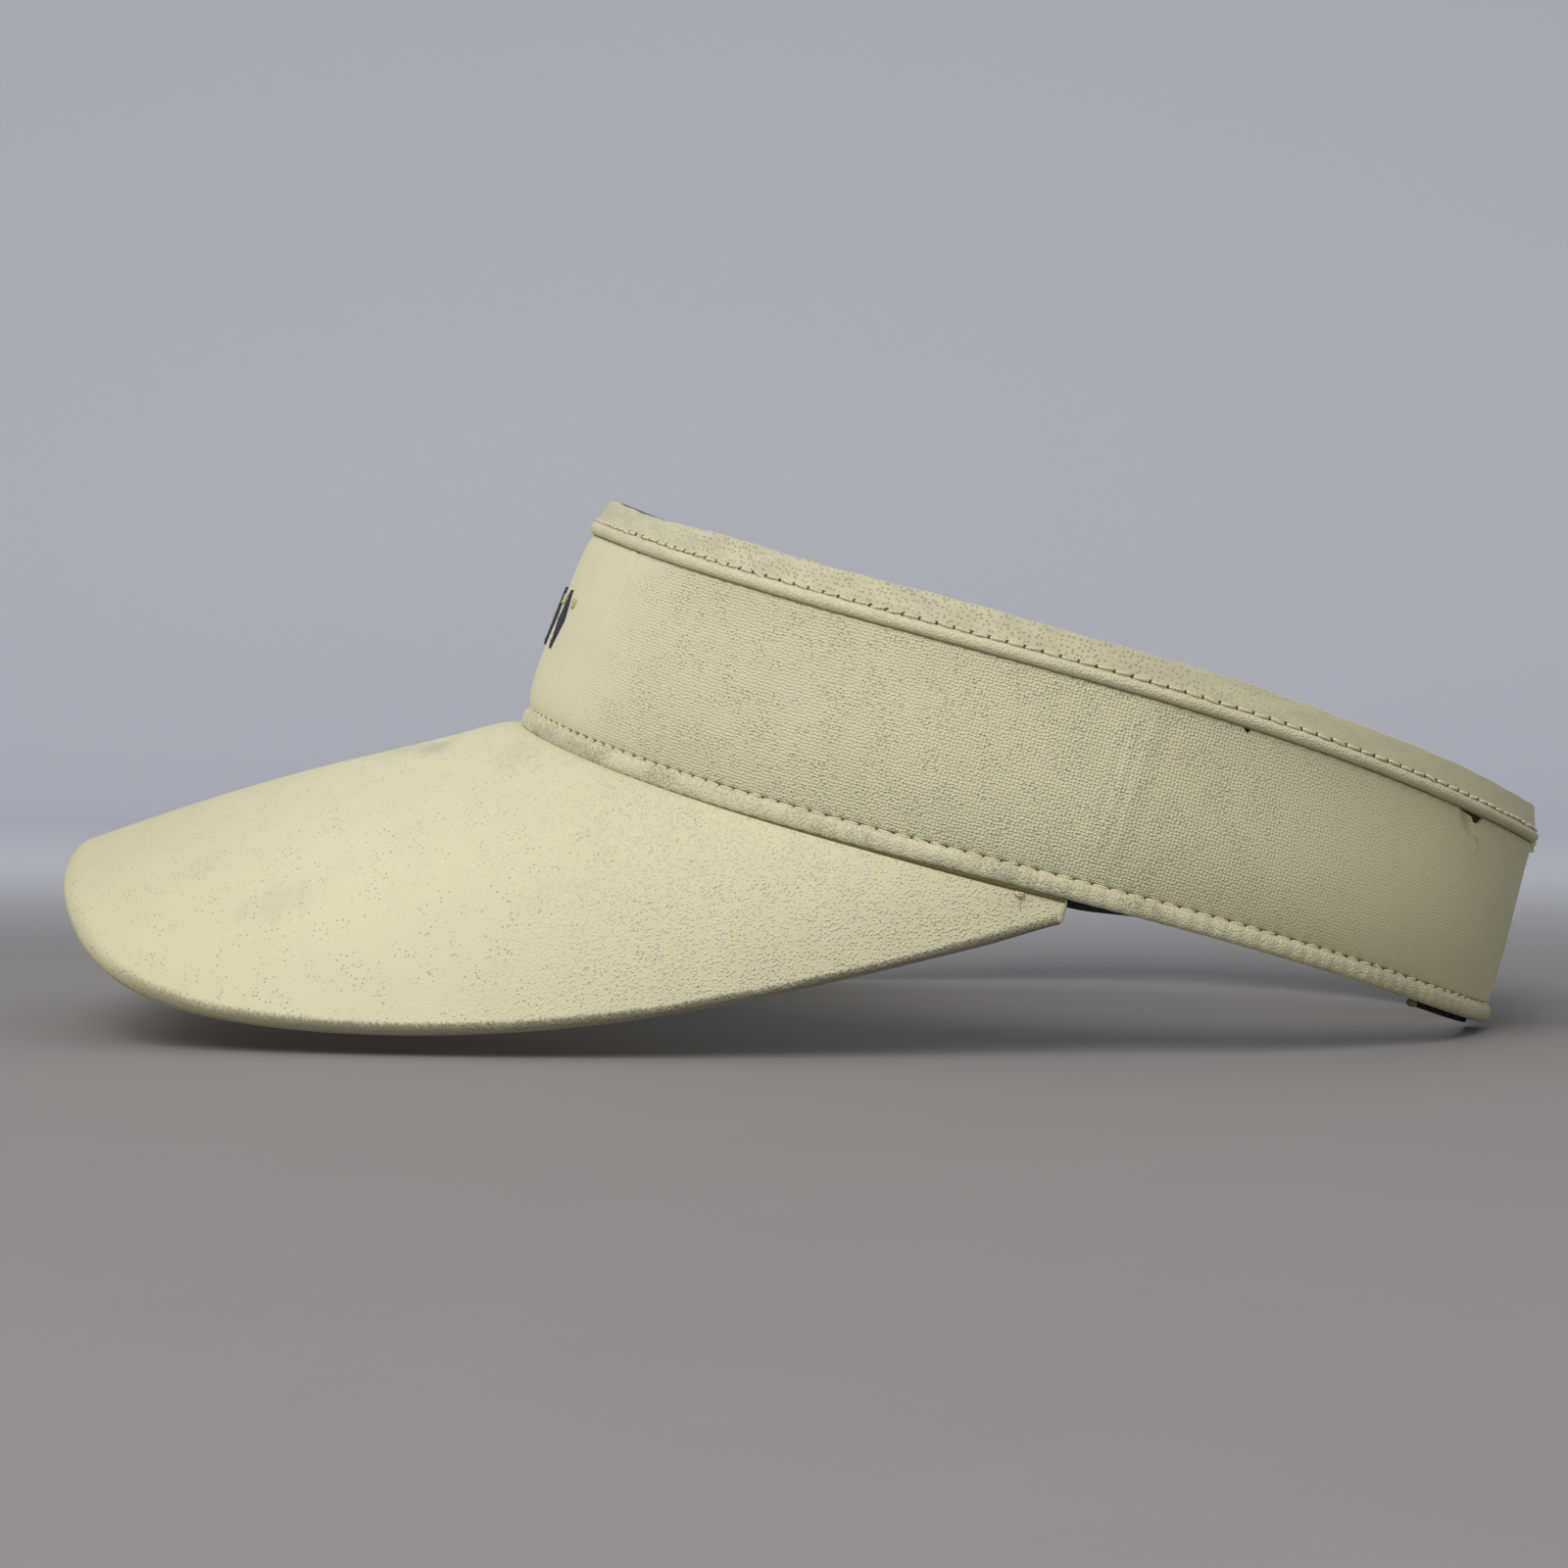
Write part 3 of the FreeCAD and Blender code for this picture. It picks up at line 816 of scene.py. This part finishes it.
knit = materials["sweatband"]
made = band_loft("sweatband_band_front", -front_end, front_end, 1.5, sweatband_section, knit)
finish_piece(made, ["sweatband_front"], "front")
for side, sign in signs.items():
    last = hook_start - 0.3 if side == "left" else band_end
    made = band_loft(f"sweatband_band_{side}", sign * front_end, sign * last, 1.5,
                     sweatband_section, knit)
    nodes = ["sweatband_front", f"sweatband_{side}"]
    finish_piece(made, nodes, side=side)

made = band_loft("stiffener_patch", -front_end, front_end, 2.0,
                 wall_section(stiffener_layer), materials["buckram"])
finish_piece(made, ["band_stiffener"], "front")
pad_end = 75.0
made = band_loft("forehead_foam", -pad_end, pad_end, 2.0, wall_section(pad_layer), materials["foam"])
finish_piece(made, ["forehead_pad"], "front")

closure_kinds = [
    # name, first and last place, layer, material, slot, CAD node, body
    ("hook_tape_strip", hook_start, band_end, hook_layer,
     "hook", "closure_tape", "hook_tape", "left_side"),
    ("loop_tape_strip", tab_tip, tab_root, loop_layer,
     "loop", "closure_tape", "loop_tape", "tab"),
    ("closure_tab_strip", tab_tip, tab_root, tab_layer,
     "panel", "shell_fabric", "closure_tab", "tab"),
]
for name, first, last, layer, material, slot, node, body in closure_kinds:
    def tape_section(place, layer=layer):
        """A flat tape that keeps its own smooth curve past the ends of the band."""
        first_depth, last_depth, low, high = layer
        height = np.linspace(low, high, 30) + 0 * place
        inset = panel_inset(0 * place + 280.0, height, False)
        return paired(inset + first_depth, inset + last_depth), paired(height, height)

    made = band_loft(name, first, last, 1.0, tape_section, materials[material])
    finish_piece(made, [node], body)


# ---------------------------------------------------------------- stitches

def stitch_line(name, first, last, height, inset_of, thread_material, hole_size):
    """A row of stitches with a needle hole between neighbours, each hole a dark disc of painted shade;
    returns both meshes.
    """
    numbers = np.arange(math.ceil(first / stitch_pitch), math.floor(last / stitch_pitch))
    centres = (numbers + 0.5) * stitch_pitch
    reach = np.array([-1.0, -0.9, -0.62, 0.0, 0.62, 0.9, 1.0]) * (stitch_pitch / 2 - 0.25)
    lift = np.array([0.5, 0.05, -0.16, -0.26, -0.16, 0.05, 0.5])
    place = centres[:, None] + reach
    slant = rng.normal(0.0, 0.10, (len(centres), 1)) * np.sign(reach)
    level = height + rng.normal(0.0, 0.06, (len(centres), 1)) + slant
    paths = band_points(place, inset_of(place, level) + lift, level)
    threads = tubes(name + "_thread", paths, 0.3, thread_material)
    # the needle holes are small dark discs of painted shade, standing in for the shade inside each hole
    holes = np.concatenate([centres - stitch_pitch / 2, centres[-1:] + stitch_pitch / 2])
    angle = np.arange(10) * 2 * np.pi / 10
    size = hole_size[0] * rng.uniform(0.75, 1.2, (len(holes), 1))
    rim_place = holes[:, None] + size * np.cos(angle)
    rim_height = height + hole_size[1] * np.sin(angle)
    rim = band_points(rim_place, inset_of(rim_place, rim_height) - 0.035, rim_height)
    heart = band_points(holes, inset_of(holes, height) - 0.05, height)
    points = np.concatenate([rim, heart[:, None]], axis=1)
    base = np.arange(len(holes))[:, None, None] * 11
    fan = np.stack([np.arange(10), (np.arange(10) + 1) % 10, np.full(10, 10)], axis=-1)
    faces = (base + fan).reshape(-1, 3)
    corners = np.stack([points[..., 0], points[..., 2]], axis=-1).reshape(-1, 2)[faces.ravel()]
    dots = add_mesh(name + "_holes", points.reshape(-1, 3), faces.tolist(), corners,
                    materials["hole"], 80.0)
    return threads, dots


def hem_valley(place, height):
    return hem_seam_inset + 0.22 + end_curl(place) + 0 * height


stitch_kinds = [
    ("hem_stitch", hem_seam + 0.05, hem_valley, (0.6, 0.45)),
    ("facing_stitch", facing_seam + 0.25, facing_inset, (0.62, 0.38)),
]
seam_spans = {
    "front": (-front_end, front_end),
    "left": (front_end, band_end - 0.8),
    "right": (0.8 - band_end, -front_end),
}


def finish_part(piece, part):
    """As finish_piece, for the front, left or right length of a seam."""
    if part == "front":
        return finish_piece(piece, body="front")
    return finish_piece(piece, side=part)


for name, height, inset_of, hole_size in stitch_kinds:
    for part, (first, last) in seam_spans.items():
        row = stitch_line(f"{name}_{part}", first, last, height, inset_of,
                          materials["thread"], hole_size)
        for made in row:
            finish_part(made, part)


# the sunk lines under the piping and just above the lower stitches: dark tubes of painted shade,
# standing in for the shadow in these grooves
sunk_lines = [
    ("piping_seam", piping_seam_inset + 0.12, piping_seam + 0.02, 0.26),
    ("hem_ditch_shade", hem_seam_inset + 0.12, hem_seam + 0.42, 0.22),
]
for name, inset, height, radius in sunk_lines:
    for part, (first, last) in seam_spans.items():
        path = band_points(stations(first, last, 1.0), inset, height)
        made = tubes(f"{name}_{part}", path[None], radius, materials["ditch"])
        finish_part(made, part)

# painted shade: a dark sheet inside the pulled places, standing in for the shadow under the lifted edge
for k, (centre, half_spot, _) in enumerate(pulled_spots):
    pocket_layer = (panel_thickness + 0.1, panel_thickness + 0.4, piping_seam - 3.5, piping_seam + 0.6)
    reach = half_spot + 1.2
    made = band_loft(f"pulled_pocket_shade_{k}", centre - reach, centre + reach, 0.5,
                     wall_section(pocket_layer, 8), materials["hole"])
    finish_piece(made, body="left_side")


# ---------------------------------------------------------------- ends of the band

def end_fold(name, sign, body):
    """The cloth folded round one end of the band, a little lumpy."""
    height = np.linspace(hem_seam - 0.5, piping_seam + 0.4, 70)[:, None]
    turn = np.linspace(-math.pi / 2, math.pi / 2, 14)
    lump = 1 + 0.10 * np.sin(height * 1.9) * np.sin(height * 0.61 + 1.0)
    lump = lump + 0.05 * np.sin(height * 4.3)

    def skin(size):
        place = band_end - 1.6 + 1.85 * lump * size * np.abs(np.cos(turn)) ** 0.6
        depth = 2.0 - 2.1 * size * np.sin(turn)
        smooth = panel_inset(sign * (band_end - 4.0), height, False)
        return band_points(sign * place, smooth + depth, height + 0 * place)

    rows = np.concatenate([skin(1.0), skin(0.8)[:, ::-1]], axis=1)
    made = loft(name, rows, section_uv(rows, height[:, 0])[..., ::-1], materials["panel"], 60.0)
    return finish_piece(made, body=body)


def loose_fibres(name, sign, body, roots, length):
    """Short fine fibres standing out of the end of the band."""
    roots = np.asarray(roots, float)
    count = len(roots)
    share = np.linspace(0, 1, 6)
    reach = rng.uniform(0.5, 1.0, (count, 1)) * length
    place = band_end + roots[:, :1] + reach * share
    inset = roots[:, 1:2] + rng.normal(0, 0.5, (count, 1)) * share ** 2 * length
    height = roots[:, 2:3] + rng.normal(-0.1, 0.5, (count, 1)) * share ** 2 * length
    paths = band_points(sign * place, inset, height)
    made = tubes(name, paths, 0.055, materials["thread"], 5)
    return finish_piece(made, body=body)


fibre_kinds = [
    # name, lowest and highest (place past the end, inset, height) of the roots, count, length
    ("corner_fray", (-0.7, 0.0, 0.1), (-0.1, 2.6, 3.2), 16, 1.7),
    ("edge_fuzz", (-0.1, 0.2, 4.0), (0.1, 3.2, 40.0), 34, 0.7),
]
for side, sign in signs.items():
    body = side_bodies[side]
    end_fold("end_fold_" + side, sign, body)
    for name, low, high, count, length in fibre_kinds:
        roots = np.stack([rng.uniform(a, b, count) for a, b in zip(low, high)], axis=-1)
        loose_fibres(f"{name}_{side}", sign, body, roots, length)

turn = np.linspace(0.0, 1.85 * math.pi, 22)
knot_inset, knot_height = 1.0 + 0.45 * np.sin(2 * turn), 39.9 + 1.05 * np.cos(turn)
knot = band_points(band_end - 0.5 + 0.7 * np.sin(turn), knot_inset, knot_height)
made = tubes("end_knot", knot[None], 0.3, materials["thread"], 8)
finish_piece(made, body="left_side")
tag = band_points(np.linspace(245.5, 248.2, 5), 1.6, -0.9 + 0.25 * np.sin(np.linspace(0, 3, 5)))
made = tubes("seam_tag", tag[None], np.array([0.35, 0.75, 0.85, 0.75, 0.4]), materials["seam"], 10)
finish_piece(made, body="left_side")


# ---------------------------------------------------------------- brim

def rim_line(across):
    """The rim: a smooth curve through rim_points, mirrored; across from -1 to 1."""
    points = np.array([(-x, y, z) for x, y, z in reversed(rim_points[1:])] + rim_points)
    count = len(points)
    knots = np.linspace(-1.0, 1.0, count)
    gap = knots[1] - knots[0]
    system = np.zeros((count, count))
    system[0, 0] = system[-1, -1] = 1.0
    right = np.zeros((count, 3))
    for k in range(1, count - 1):
        system[k, k - 1:k + 2] = gap / 6, 4 * gap / 6, gap / 6
        right[k] = (points[k + 1] - 2 * points[k] + points[k - 1]) / gap
    bending = np.linalg.solve(system, right)
    k = np.clip(np.searchsorted(knots, across) - 1, 0, count - 2)
    b = ((across - knots[k]) / gap)[:, None]
    a = 1 - b
    curve = a * points[k] + b * points[k + 1]
    return curve + ((a ** 3 - a) * bending[k] + (b ** 3 - b) * bending[k + 1]) * gap * gap / 6


def brim_upper(across, along):
    """Upper face of the brim: (across, along, xyz), from under the hem, out along ribs to the rim."""
    start = band_points(across * brim_reach, 0.6, -0.15)
    level = 1 - across ** 2
    start[:, 2] += 0.5 * level
    end = rim_line(across)
    share = along[None, :, None]
    rows = start[:, None] * (1 - share) + end[:, None] * share
    near = along / shoulder_at
    lift = rib_crown * 4 * along * (1 - along) * level[:, None]
    rows[..., 2] += lift + shoulder * near * np.exp(1 - near) * level[:, None] ** 2
    tucked = band_points(across * brim_reach, 2.2, 0.3)
    return np.concatenate([tucked[:, None], rows], axis=1)


def normals_of(rows):
    """Unit normals of a grid, pointing up."""
    normal = np.cross(np.gradient(rows, axis=0), np.gradient(rows, axis=1))
    normal /= np.linalg.norm(normal, axis=-1, keepdims=True)
    return normal * np.sign(normal[..., 2:].sum())


def soft_relief(rows):
    """Slow unevenness of the stretched cover, none at the band."""
    x, y = rows[..., 0], rows[..., 1]
    return 0.16 * np.sin(x / 17.0 + 0.4) * np.sin(y / 23.0) + 0.1 * np.sin(x / 7.0 - y / 11.0)


across = np.sin(np.linspace(-0.5, 0.5, 301) * math.pi * 0.86) / math.sin(0.43 * math.pi)
along = 1 - (1 - np.linspace(0.0, 1.0, 70)) ** 1.25
upper = brim_upper(across, along)
along = np.concatenate([[0.0], along])
normal = normals_of(upper)
upper = upper + normal * (soft_relief(upper) * ease(0.0, 0.2, along)[None, :])[..., None]
roll = (rim_radius * (1 - 0.4 * ease(0.97, 1.0, np.abs(across))))[:, None, None]
rim_normal = normal[:, -1:]
rim_along = np.gradient(upper[:, -1:], axis=0)
rim_out = np.cross(rim_normal, rim_along)
rim_out /= np.linalg.norm(rim_out, axis=-1, keepdims=True)
rim_out *= np.sign(np.sum(rim_out * (upper[:, -1:] - upper[:, -2:-1]), axis=-1, keepdims=True))


def rim_ring(turn, change=0.0):
    """Points turned round the rim's roll, from its top (0) under it; change is added to its radius."""
    core = upper[:, -1:] - rim_normal * roll
    turn = np.asarray(turn)[None, :, None]
    return core + (roll + change) * (rim_normal * np.cos(turn) + rim_out * np.sin(turn))


def developed(rows, normal):
    """Cloth coordinates in millimetres: the brim opened out flat, sideways from its middle line.

    The brim is nearly a tube whose axis falls forwards, so it opens out square to that axis.
    """
    ahead = np.array([0.0, math.cos(brim_fall), math.sin(brim_fall)])
    up = np.array([0.0, -math.sin(brim_fall), math.cos(brim_fall)])
    step = np.diff(rows, axis=0)
    middle = (normal[1:] + normal[:-1]) / 2
    run = step[..., 0] * (middle @ up) - (step @ up) * middle[..., 0]
    run /= np.hypot(middle[..., 0], middle @ up)
    sideways = np.concatenate([np.zeros((1, rows.shape[1])), np.cumsum(run, axis=0)])
    sideways -= sideways[len(rows) // 2]
    return np.stack([sideways, rows @ ahead], axis=-1)


def brim_sheet(name, outer, inner, cloth, material, node):
    """Closed skin between an outer and an inner grid of the brim; cloth holds the outer's cut."""
    rows = np.concatenate([outer, inner[:, ::-1]], axis=1)
    uv = np.concatenate([cloth, cloth[:, ::-1], cloth[:, :1]], axis=1)
    made = loft(name, rows, uv, materials[material])
    return finish_piece(made, [node], "front")


def edge_map(piece, distance):
    """Second UV map: each vertex's distance past the start of the rim's roll."""
    corner = np.empty(len(piece.data.loops), np.int32)
    piece.data.loops.foreach_get("vertex_index", corner)
    pairs = np.stack([np.zeros(len(corner)), distance.ravel()[corner]], axis=-1)
    piece.data.uv_layers.new(name="edge").data.foreach_set("uv", pairs.astype(np.float32).ravel())


cover_thickness = 0.42
turns = np.linspace(0.0, 2.5, 15)[1:]
cloth = developed(upper, normal)
past_rim = cloth[:, -1:] - cloth[:, -4:-3]
past_rim /= np.linalg.norm(past_rim, axis=-1, keepdims=True)
top_cloth = np.concatenate([cloth, cloth[:, -1:] + past_rim * roll * turns[None, :, None]], axis=1)
top_outer = np.concatenate([upper, rim_ring(turns)], axis=1)
inner_rim = rim_ring(turns, -cover_thickness)
top_inner = np.concatenate([upper - normal * cover_thickness, inner_rim], axis=1)
brim_top = brim_sheet("brim_cover_top", top_outer, top_inner, top_cloth,
                      "brim", "brim_top_cover")
to_rim = np.cumsum(np.linalg.norm(np.diff(upper, axis=1), axis=-1)[:, ::-1], axis=1)[:, ::-1]
past = np.concatenate([-to_rim, 0 * to_rim[:, :1], (roll * turns[None, :, None])[..., 0]], axis=1)
edge_map(brim_top, np.concatenate([past, past[:, ::-1]], axis=1))

inside = along <= 0.985
lower = (upper - normal * (2 * roll - 0.05))[:, inside]
brim_under = brim_sheet("brim_cover_under", lower, lower + normal[:, inside] * 0.35, cloth[:, inside],
                        "under", "brim_under_cover")
inside = along <= 0.97
inner_upper, inner_normal, inner_cloth = upper[2:-2, inside], normal[2:-2, inside], cloth[2:-2, inside]
foam_under = inner_upper - inner_normal * 1.05
board_under = inner_upper - inner_normal * (2 * roll[2:-2] - 0.5)
brim_foam = brim_sheet("brim_foam_layer", inner_upper - inner_normal * 0.5, foam_under, inner_cloth,
                       "foam", "brim_foam")
brim_sheet("brim_board_shape", foam_under - inner_normal * 0.05, board_under, inner_cloth,
           "board", "brim_board")

# rounded ends of the brim, behind its rear corners: each ring's size, how far back it lies,
# and its distance along the cloth
end_rings = [(1.0, -0.3, 0.0), (1.0, 0.0, 0.3), (0.86, 0.4, 0.8), (0.6, 0.65, 1.4), (0.25, 0.75, 2.0)]
for end, name in ((-1, "left"), (0, "right")):
    half_turns = np.linspace(0.0, 1.25, 7)[1:]
    top = np.concatenate([upper[end], rim_ring(half_turns)[end]])
    bottom = np.concatenate([(upper - normal * 2 * roll)[end], rim_ring(2.5 - half_turns)[end]])
    loop = np.concatenate([top, bottom[::-1]])
    heart = loop.mean(axis=0)
    backwards = upper[end, 20] - upper[3 if end == 0 else -4, 20]
    backwards /= np.linalg.norm(backwards)
    rows = np.stack([heart + (loop - heart) * size + backwards * push for size, push, _ in end_rings])
    corner_uv = section_uv(rows, np.array([run for _, _, run in end_rings]))
    made = loft("brim_corner_" + name, rows, corner_uv, materials["rim"])
    finish_piece(made, body="front")


seam_path = rim_ring([2.5], 0.12)[:, 0]
made = tubes("brim_rim_seam", seam_path[None], 0.28, materials["thread"], 8)
finish_piece(made, body="front")
# The welt between band and brim: its cloth is darkened almost fully, painted shade in the groove
# between hem and brim.
welt = band_points(across * brim_reach, 0.6, -0.3)
welt[:, 2] += 0.5 * (1 - across ** 2)
towards_end = np.abs(across)
welt_radius = 0.4 + 0.12 * ease(0.75, 0.88, towards_end) * (1 - ease(0.9, 1.0, towards_end))
made = tubes("brim_band_seam", welt[None], welt_radius, materials["seam"], 10)
finish_piece(made, body="front")

# the knots that fasten the brim's rear corners, each with a short stitch below it
for sign, name in ((-1, "right"), (1, "left")):
    row = np.argmin(np.abs(across - sign * 0.955))
    foot = upper[row, 5]
    off_plumb = np.abs(row_frame(upper[:, -1])[:, 1] - row_frame(foot)[1])
    below = upper[np.argmin(off_plumb + (upper[:, -1, 0] * sign < 0)), -1]
    share = np.linspace(0.0, 0.45, 8)[:, None]
    outwards = np.array([sign, 0.0, 0.0])
    stitch = foot * (1 - share) + below * share + outwards * (0.05 + 0.4 * share)
    turn = np.linspace(0.0, 3.4 * math.pi, 26)
    spin = np.stack([0.5 * np.sin(turn), 0.7 * np.cos(turn), 0.3 * np.sin(1.4 * turn)], axis=1)
    knot = foot + normal[row, 5] * 0.35 + spin
    for part, path, radius in (("knot", knot, 0.22), ("stitch", stitch, 0.11)):
        made = tubes(f"corner_{part}_{name}", path[None], radius, materials["thread"], 8)
        finish_piece(made, body="front")


# ---------------------------------------------------------------- embroidery

def satin(name, rows, material):
    """Close horizontal threads laid over the panel; rows hold (centre, half width, height)."""
    rows = np.array(rows)
    share = np.linspace(-1, 1, 9)
    place = rows[:, :1] + rows[:, 1:2] * share + rng.normal(0, 0.05, (len(rows), 1))
    height = rows[:, 2:3] + 0.10 * share + rng.normal(0, 0.03, (len(rows), 1))
    lift = 0.42 * np.sqrt(np.clip(1 - share ** 2, 0.0, 1.0)) + rng.normal(0, 0.03, (len(rows), 1))
    paths = band_points(place, panel_inset(place, height) - lift + 0.05, height)
    made = tubes(name, paths, 0.27, material)
    return finish_piece(made, ["front_embroidery"], "front")


front_arc_x, side_stretch = 17.4, 1.14      # the front arc's half width, and place per width past it


def motif_place(x):
    """Place on the band of a sideways distance from its middle."""
    on_arc = front_radius * math.asin(min(abs(x), front_arc_x) / front_radius)
    beyond = max(abs(x) - front_arc_x, 0.0) * side_stretch
    return math.copysign(on_arc + beyond, x)


thread_gap = 0.4
diamond_rows, dot_rows = [], []
for k in range(motif_count):
    centre = motif_place((k - (motif_count - 1) / 2) * motif_spacing)
    for rise in np.arange(-motif_height / 2 + 0.3, motif_height / 2, thread_gap):
        half = motif_width / 2 * (1 - abs(rise) / (motif_height / 2))
        diamond_rows.append((centre, max(half, 0.25), motif_centre_height + rise))
for k in range(motif_count + 1):
    centre = motif_place((k - motif_count / 2) * motif_spacing)
    for rise in np.arange(-dot_radius + 0.2, dot_radius, thread_gap):
        half = math.sqrt(dot_radius ** 2 - rise ** 2)
        dot_rows.append((centre, half, motif_centre_height + dot_rise + rise))
satin("embroidery_diamonds", diamond_rows, materials["navy"])
satin("embroidery_dots", dot_rows, materials["gold"])


# ---------------------------------------------------------------- camera, floor and light

camera_place = Vector((0.7348, 0.0212, 0.0344))
camera_forward = Vector((-0.9955, -0.0915, -0.0244))
camera_data = bpy.data.cameras.new("camera")
camera_data.lens = 79.79
camera_data.sensor_width = 36.0
camera = bpy.data.objects.new("camera", camera_data)
camera.location = camera_place
camera.rotation_mode = "QUATERNION"
camera.rotation_quaternion = camera_forward.to_track_quat("-Z", "Y")
bpy.context.scene.collection.objects.link(camera)
bpy.context.scene.camera = camera

made_low, made_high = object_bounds()


def studio_sweep():
    """A plain floor that curves up into a wall on the far side of the object."""
    floor_level = made_low.z
    reach, bend_radius, wall_height = 1.1, 0.7, 2.4
    turn = np.linspace(0, math.pi / 2, 25)
    x = np.concatenate([[3.0], -reach - bend_radius * np.sin(turn), [-reach - bend_radius]])
    z = np.concatenate([[0.0], bend_radius * (1 - np.cos(turn)), [wall_height]])
    y = np.array([-4.0, 4.0])
    points = [(a, b, c + floor_level) for a, c in zip(x, z) for b in y]
    faces = [(2 * k, 2 * k + 1, 2 * k + 3, 2 * k + 2) for k in range(len(x) - 1)]
    mesh = bpy.data.meshes.new("studio_sweep")
    mesh.from_pydata(points, [], faces)
    mesh.polygons.foreach_set("use_smooth", np.ones(len(faces), bool))
    s = Shader("studio_paint")
    coordinates = s.add("TexCoord", {}, "Object")
    inputs = {"Vector": coordinates, "Scale": 30.0, "Detail": 3.0}
    grain = s.add("TexNoise", inputs)
    depth = s.add("SeparateXYZ", {"Vector": coordinates}, 0)
    floor_paint = s.mix(s.step(grain, 0.3, 0.7, 0.0, 0.2), (0.255, 0.246, 0.243), (0.24, 0.232, 0.23))
    # painted light: from 0.15 m behind the object the bend and wall are painted much paler than the
    # floor, lifting the bend where little light falls
    colour = s.mix(s.step(depth, -0.15, -0.7), floor_paint, (0.60, 0.602, 0.645))
    mesh.materials.append(s.finish(colour, 0.9, grain, 0.05))
    made = bpy.data.objects.new("studio_sweep", mesh)
    bpy.context.scene.collection.objects.link(made)


def soft_light(name, place, size, power, colour):
    """Square area light aimed at the middle of the object."""
    data = bpy.data.lights.new(name, "AREA")
    data.size = size
    data.energy = power
    data.color = colour
    made = bpy.data.objects.new(name, data)
    made.location = place
    aim = (made_low + made_high) / 2 - Vector(place)
    made.rotation_mode = "QUATERNION"
    made.rotation_quaternion = aim.to_track_quat("-Z", "Y")
    bpy.context.scene.collection.objects.link(made)


studio_sweep()
soft_light("key_light", (1.33, -0.48, 1.3), 1.2, 23.5, (1.0, 0.99, 0.96))
soft_light("front_light", (0.3, -1.6, 0.5), 1.4, 1.0, (0.92, 0.96, 1.0))
world = bpy.data.worlds.new("studio_air")
world.use_nodes = True
world.node_tree.nodes["Background"].inputs["Color"].default_value = (0.93, 0.95, 1.0, 1.0)
world.node_tree.nodes["Background"].inputs["Strength"].default_value = 0.55
bpy.context.scene.world = world
bpy.context.scene.view_settings.view_transform = "Standard"
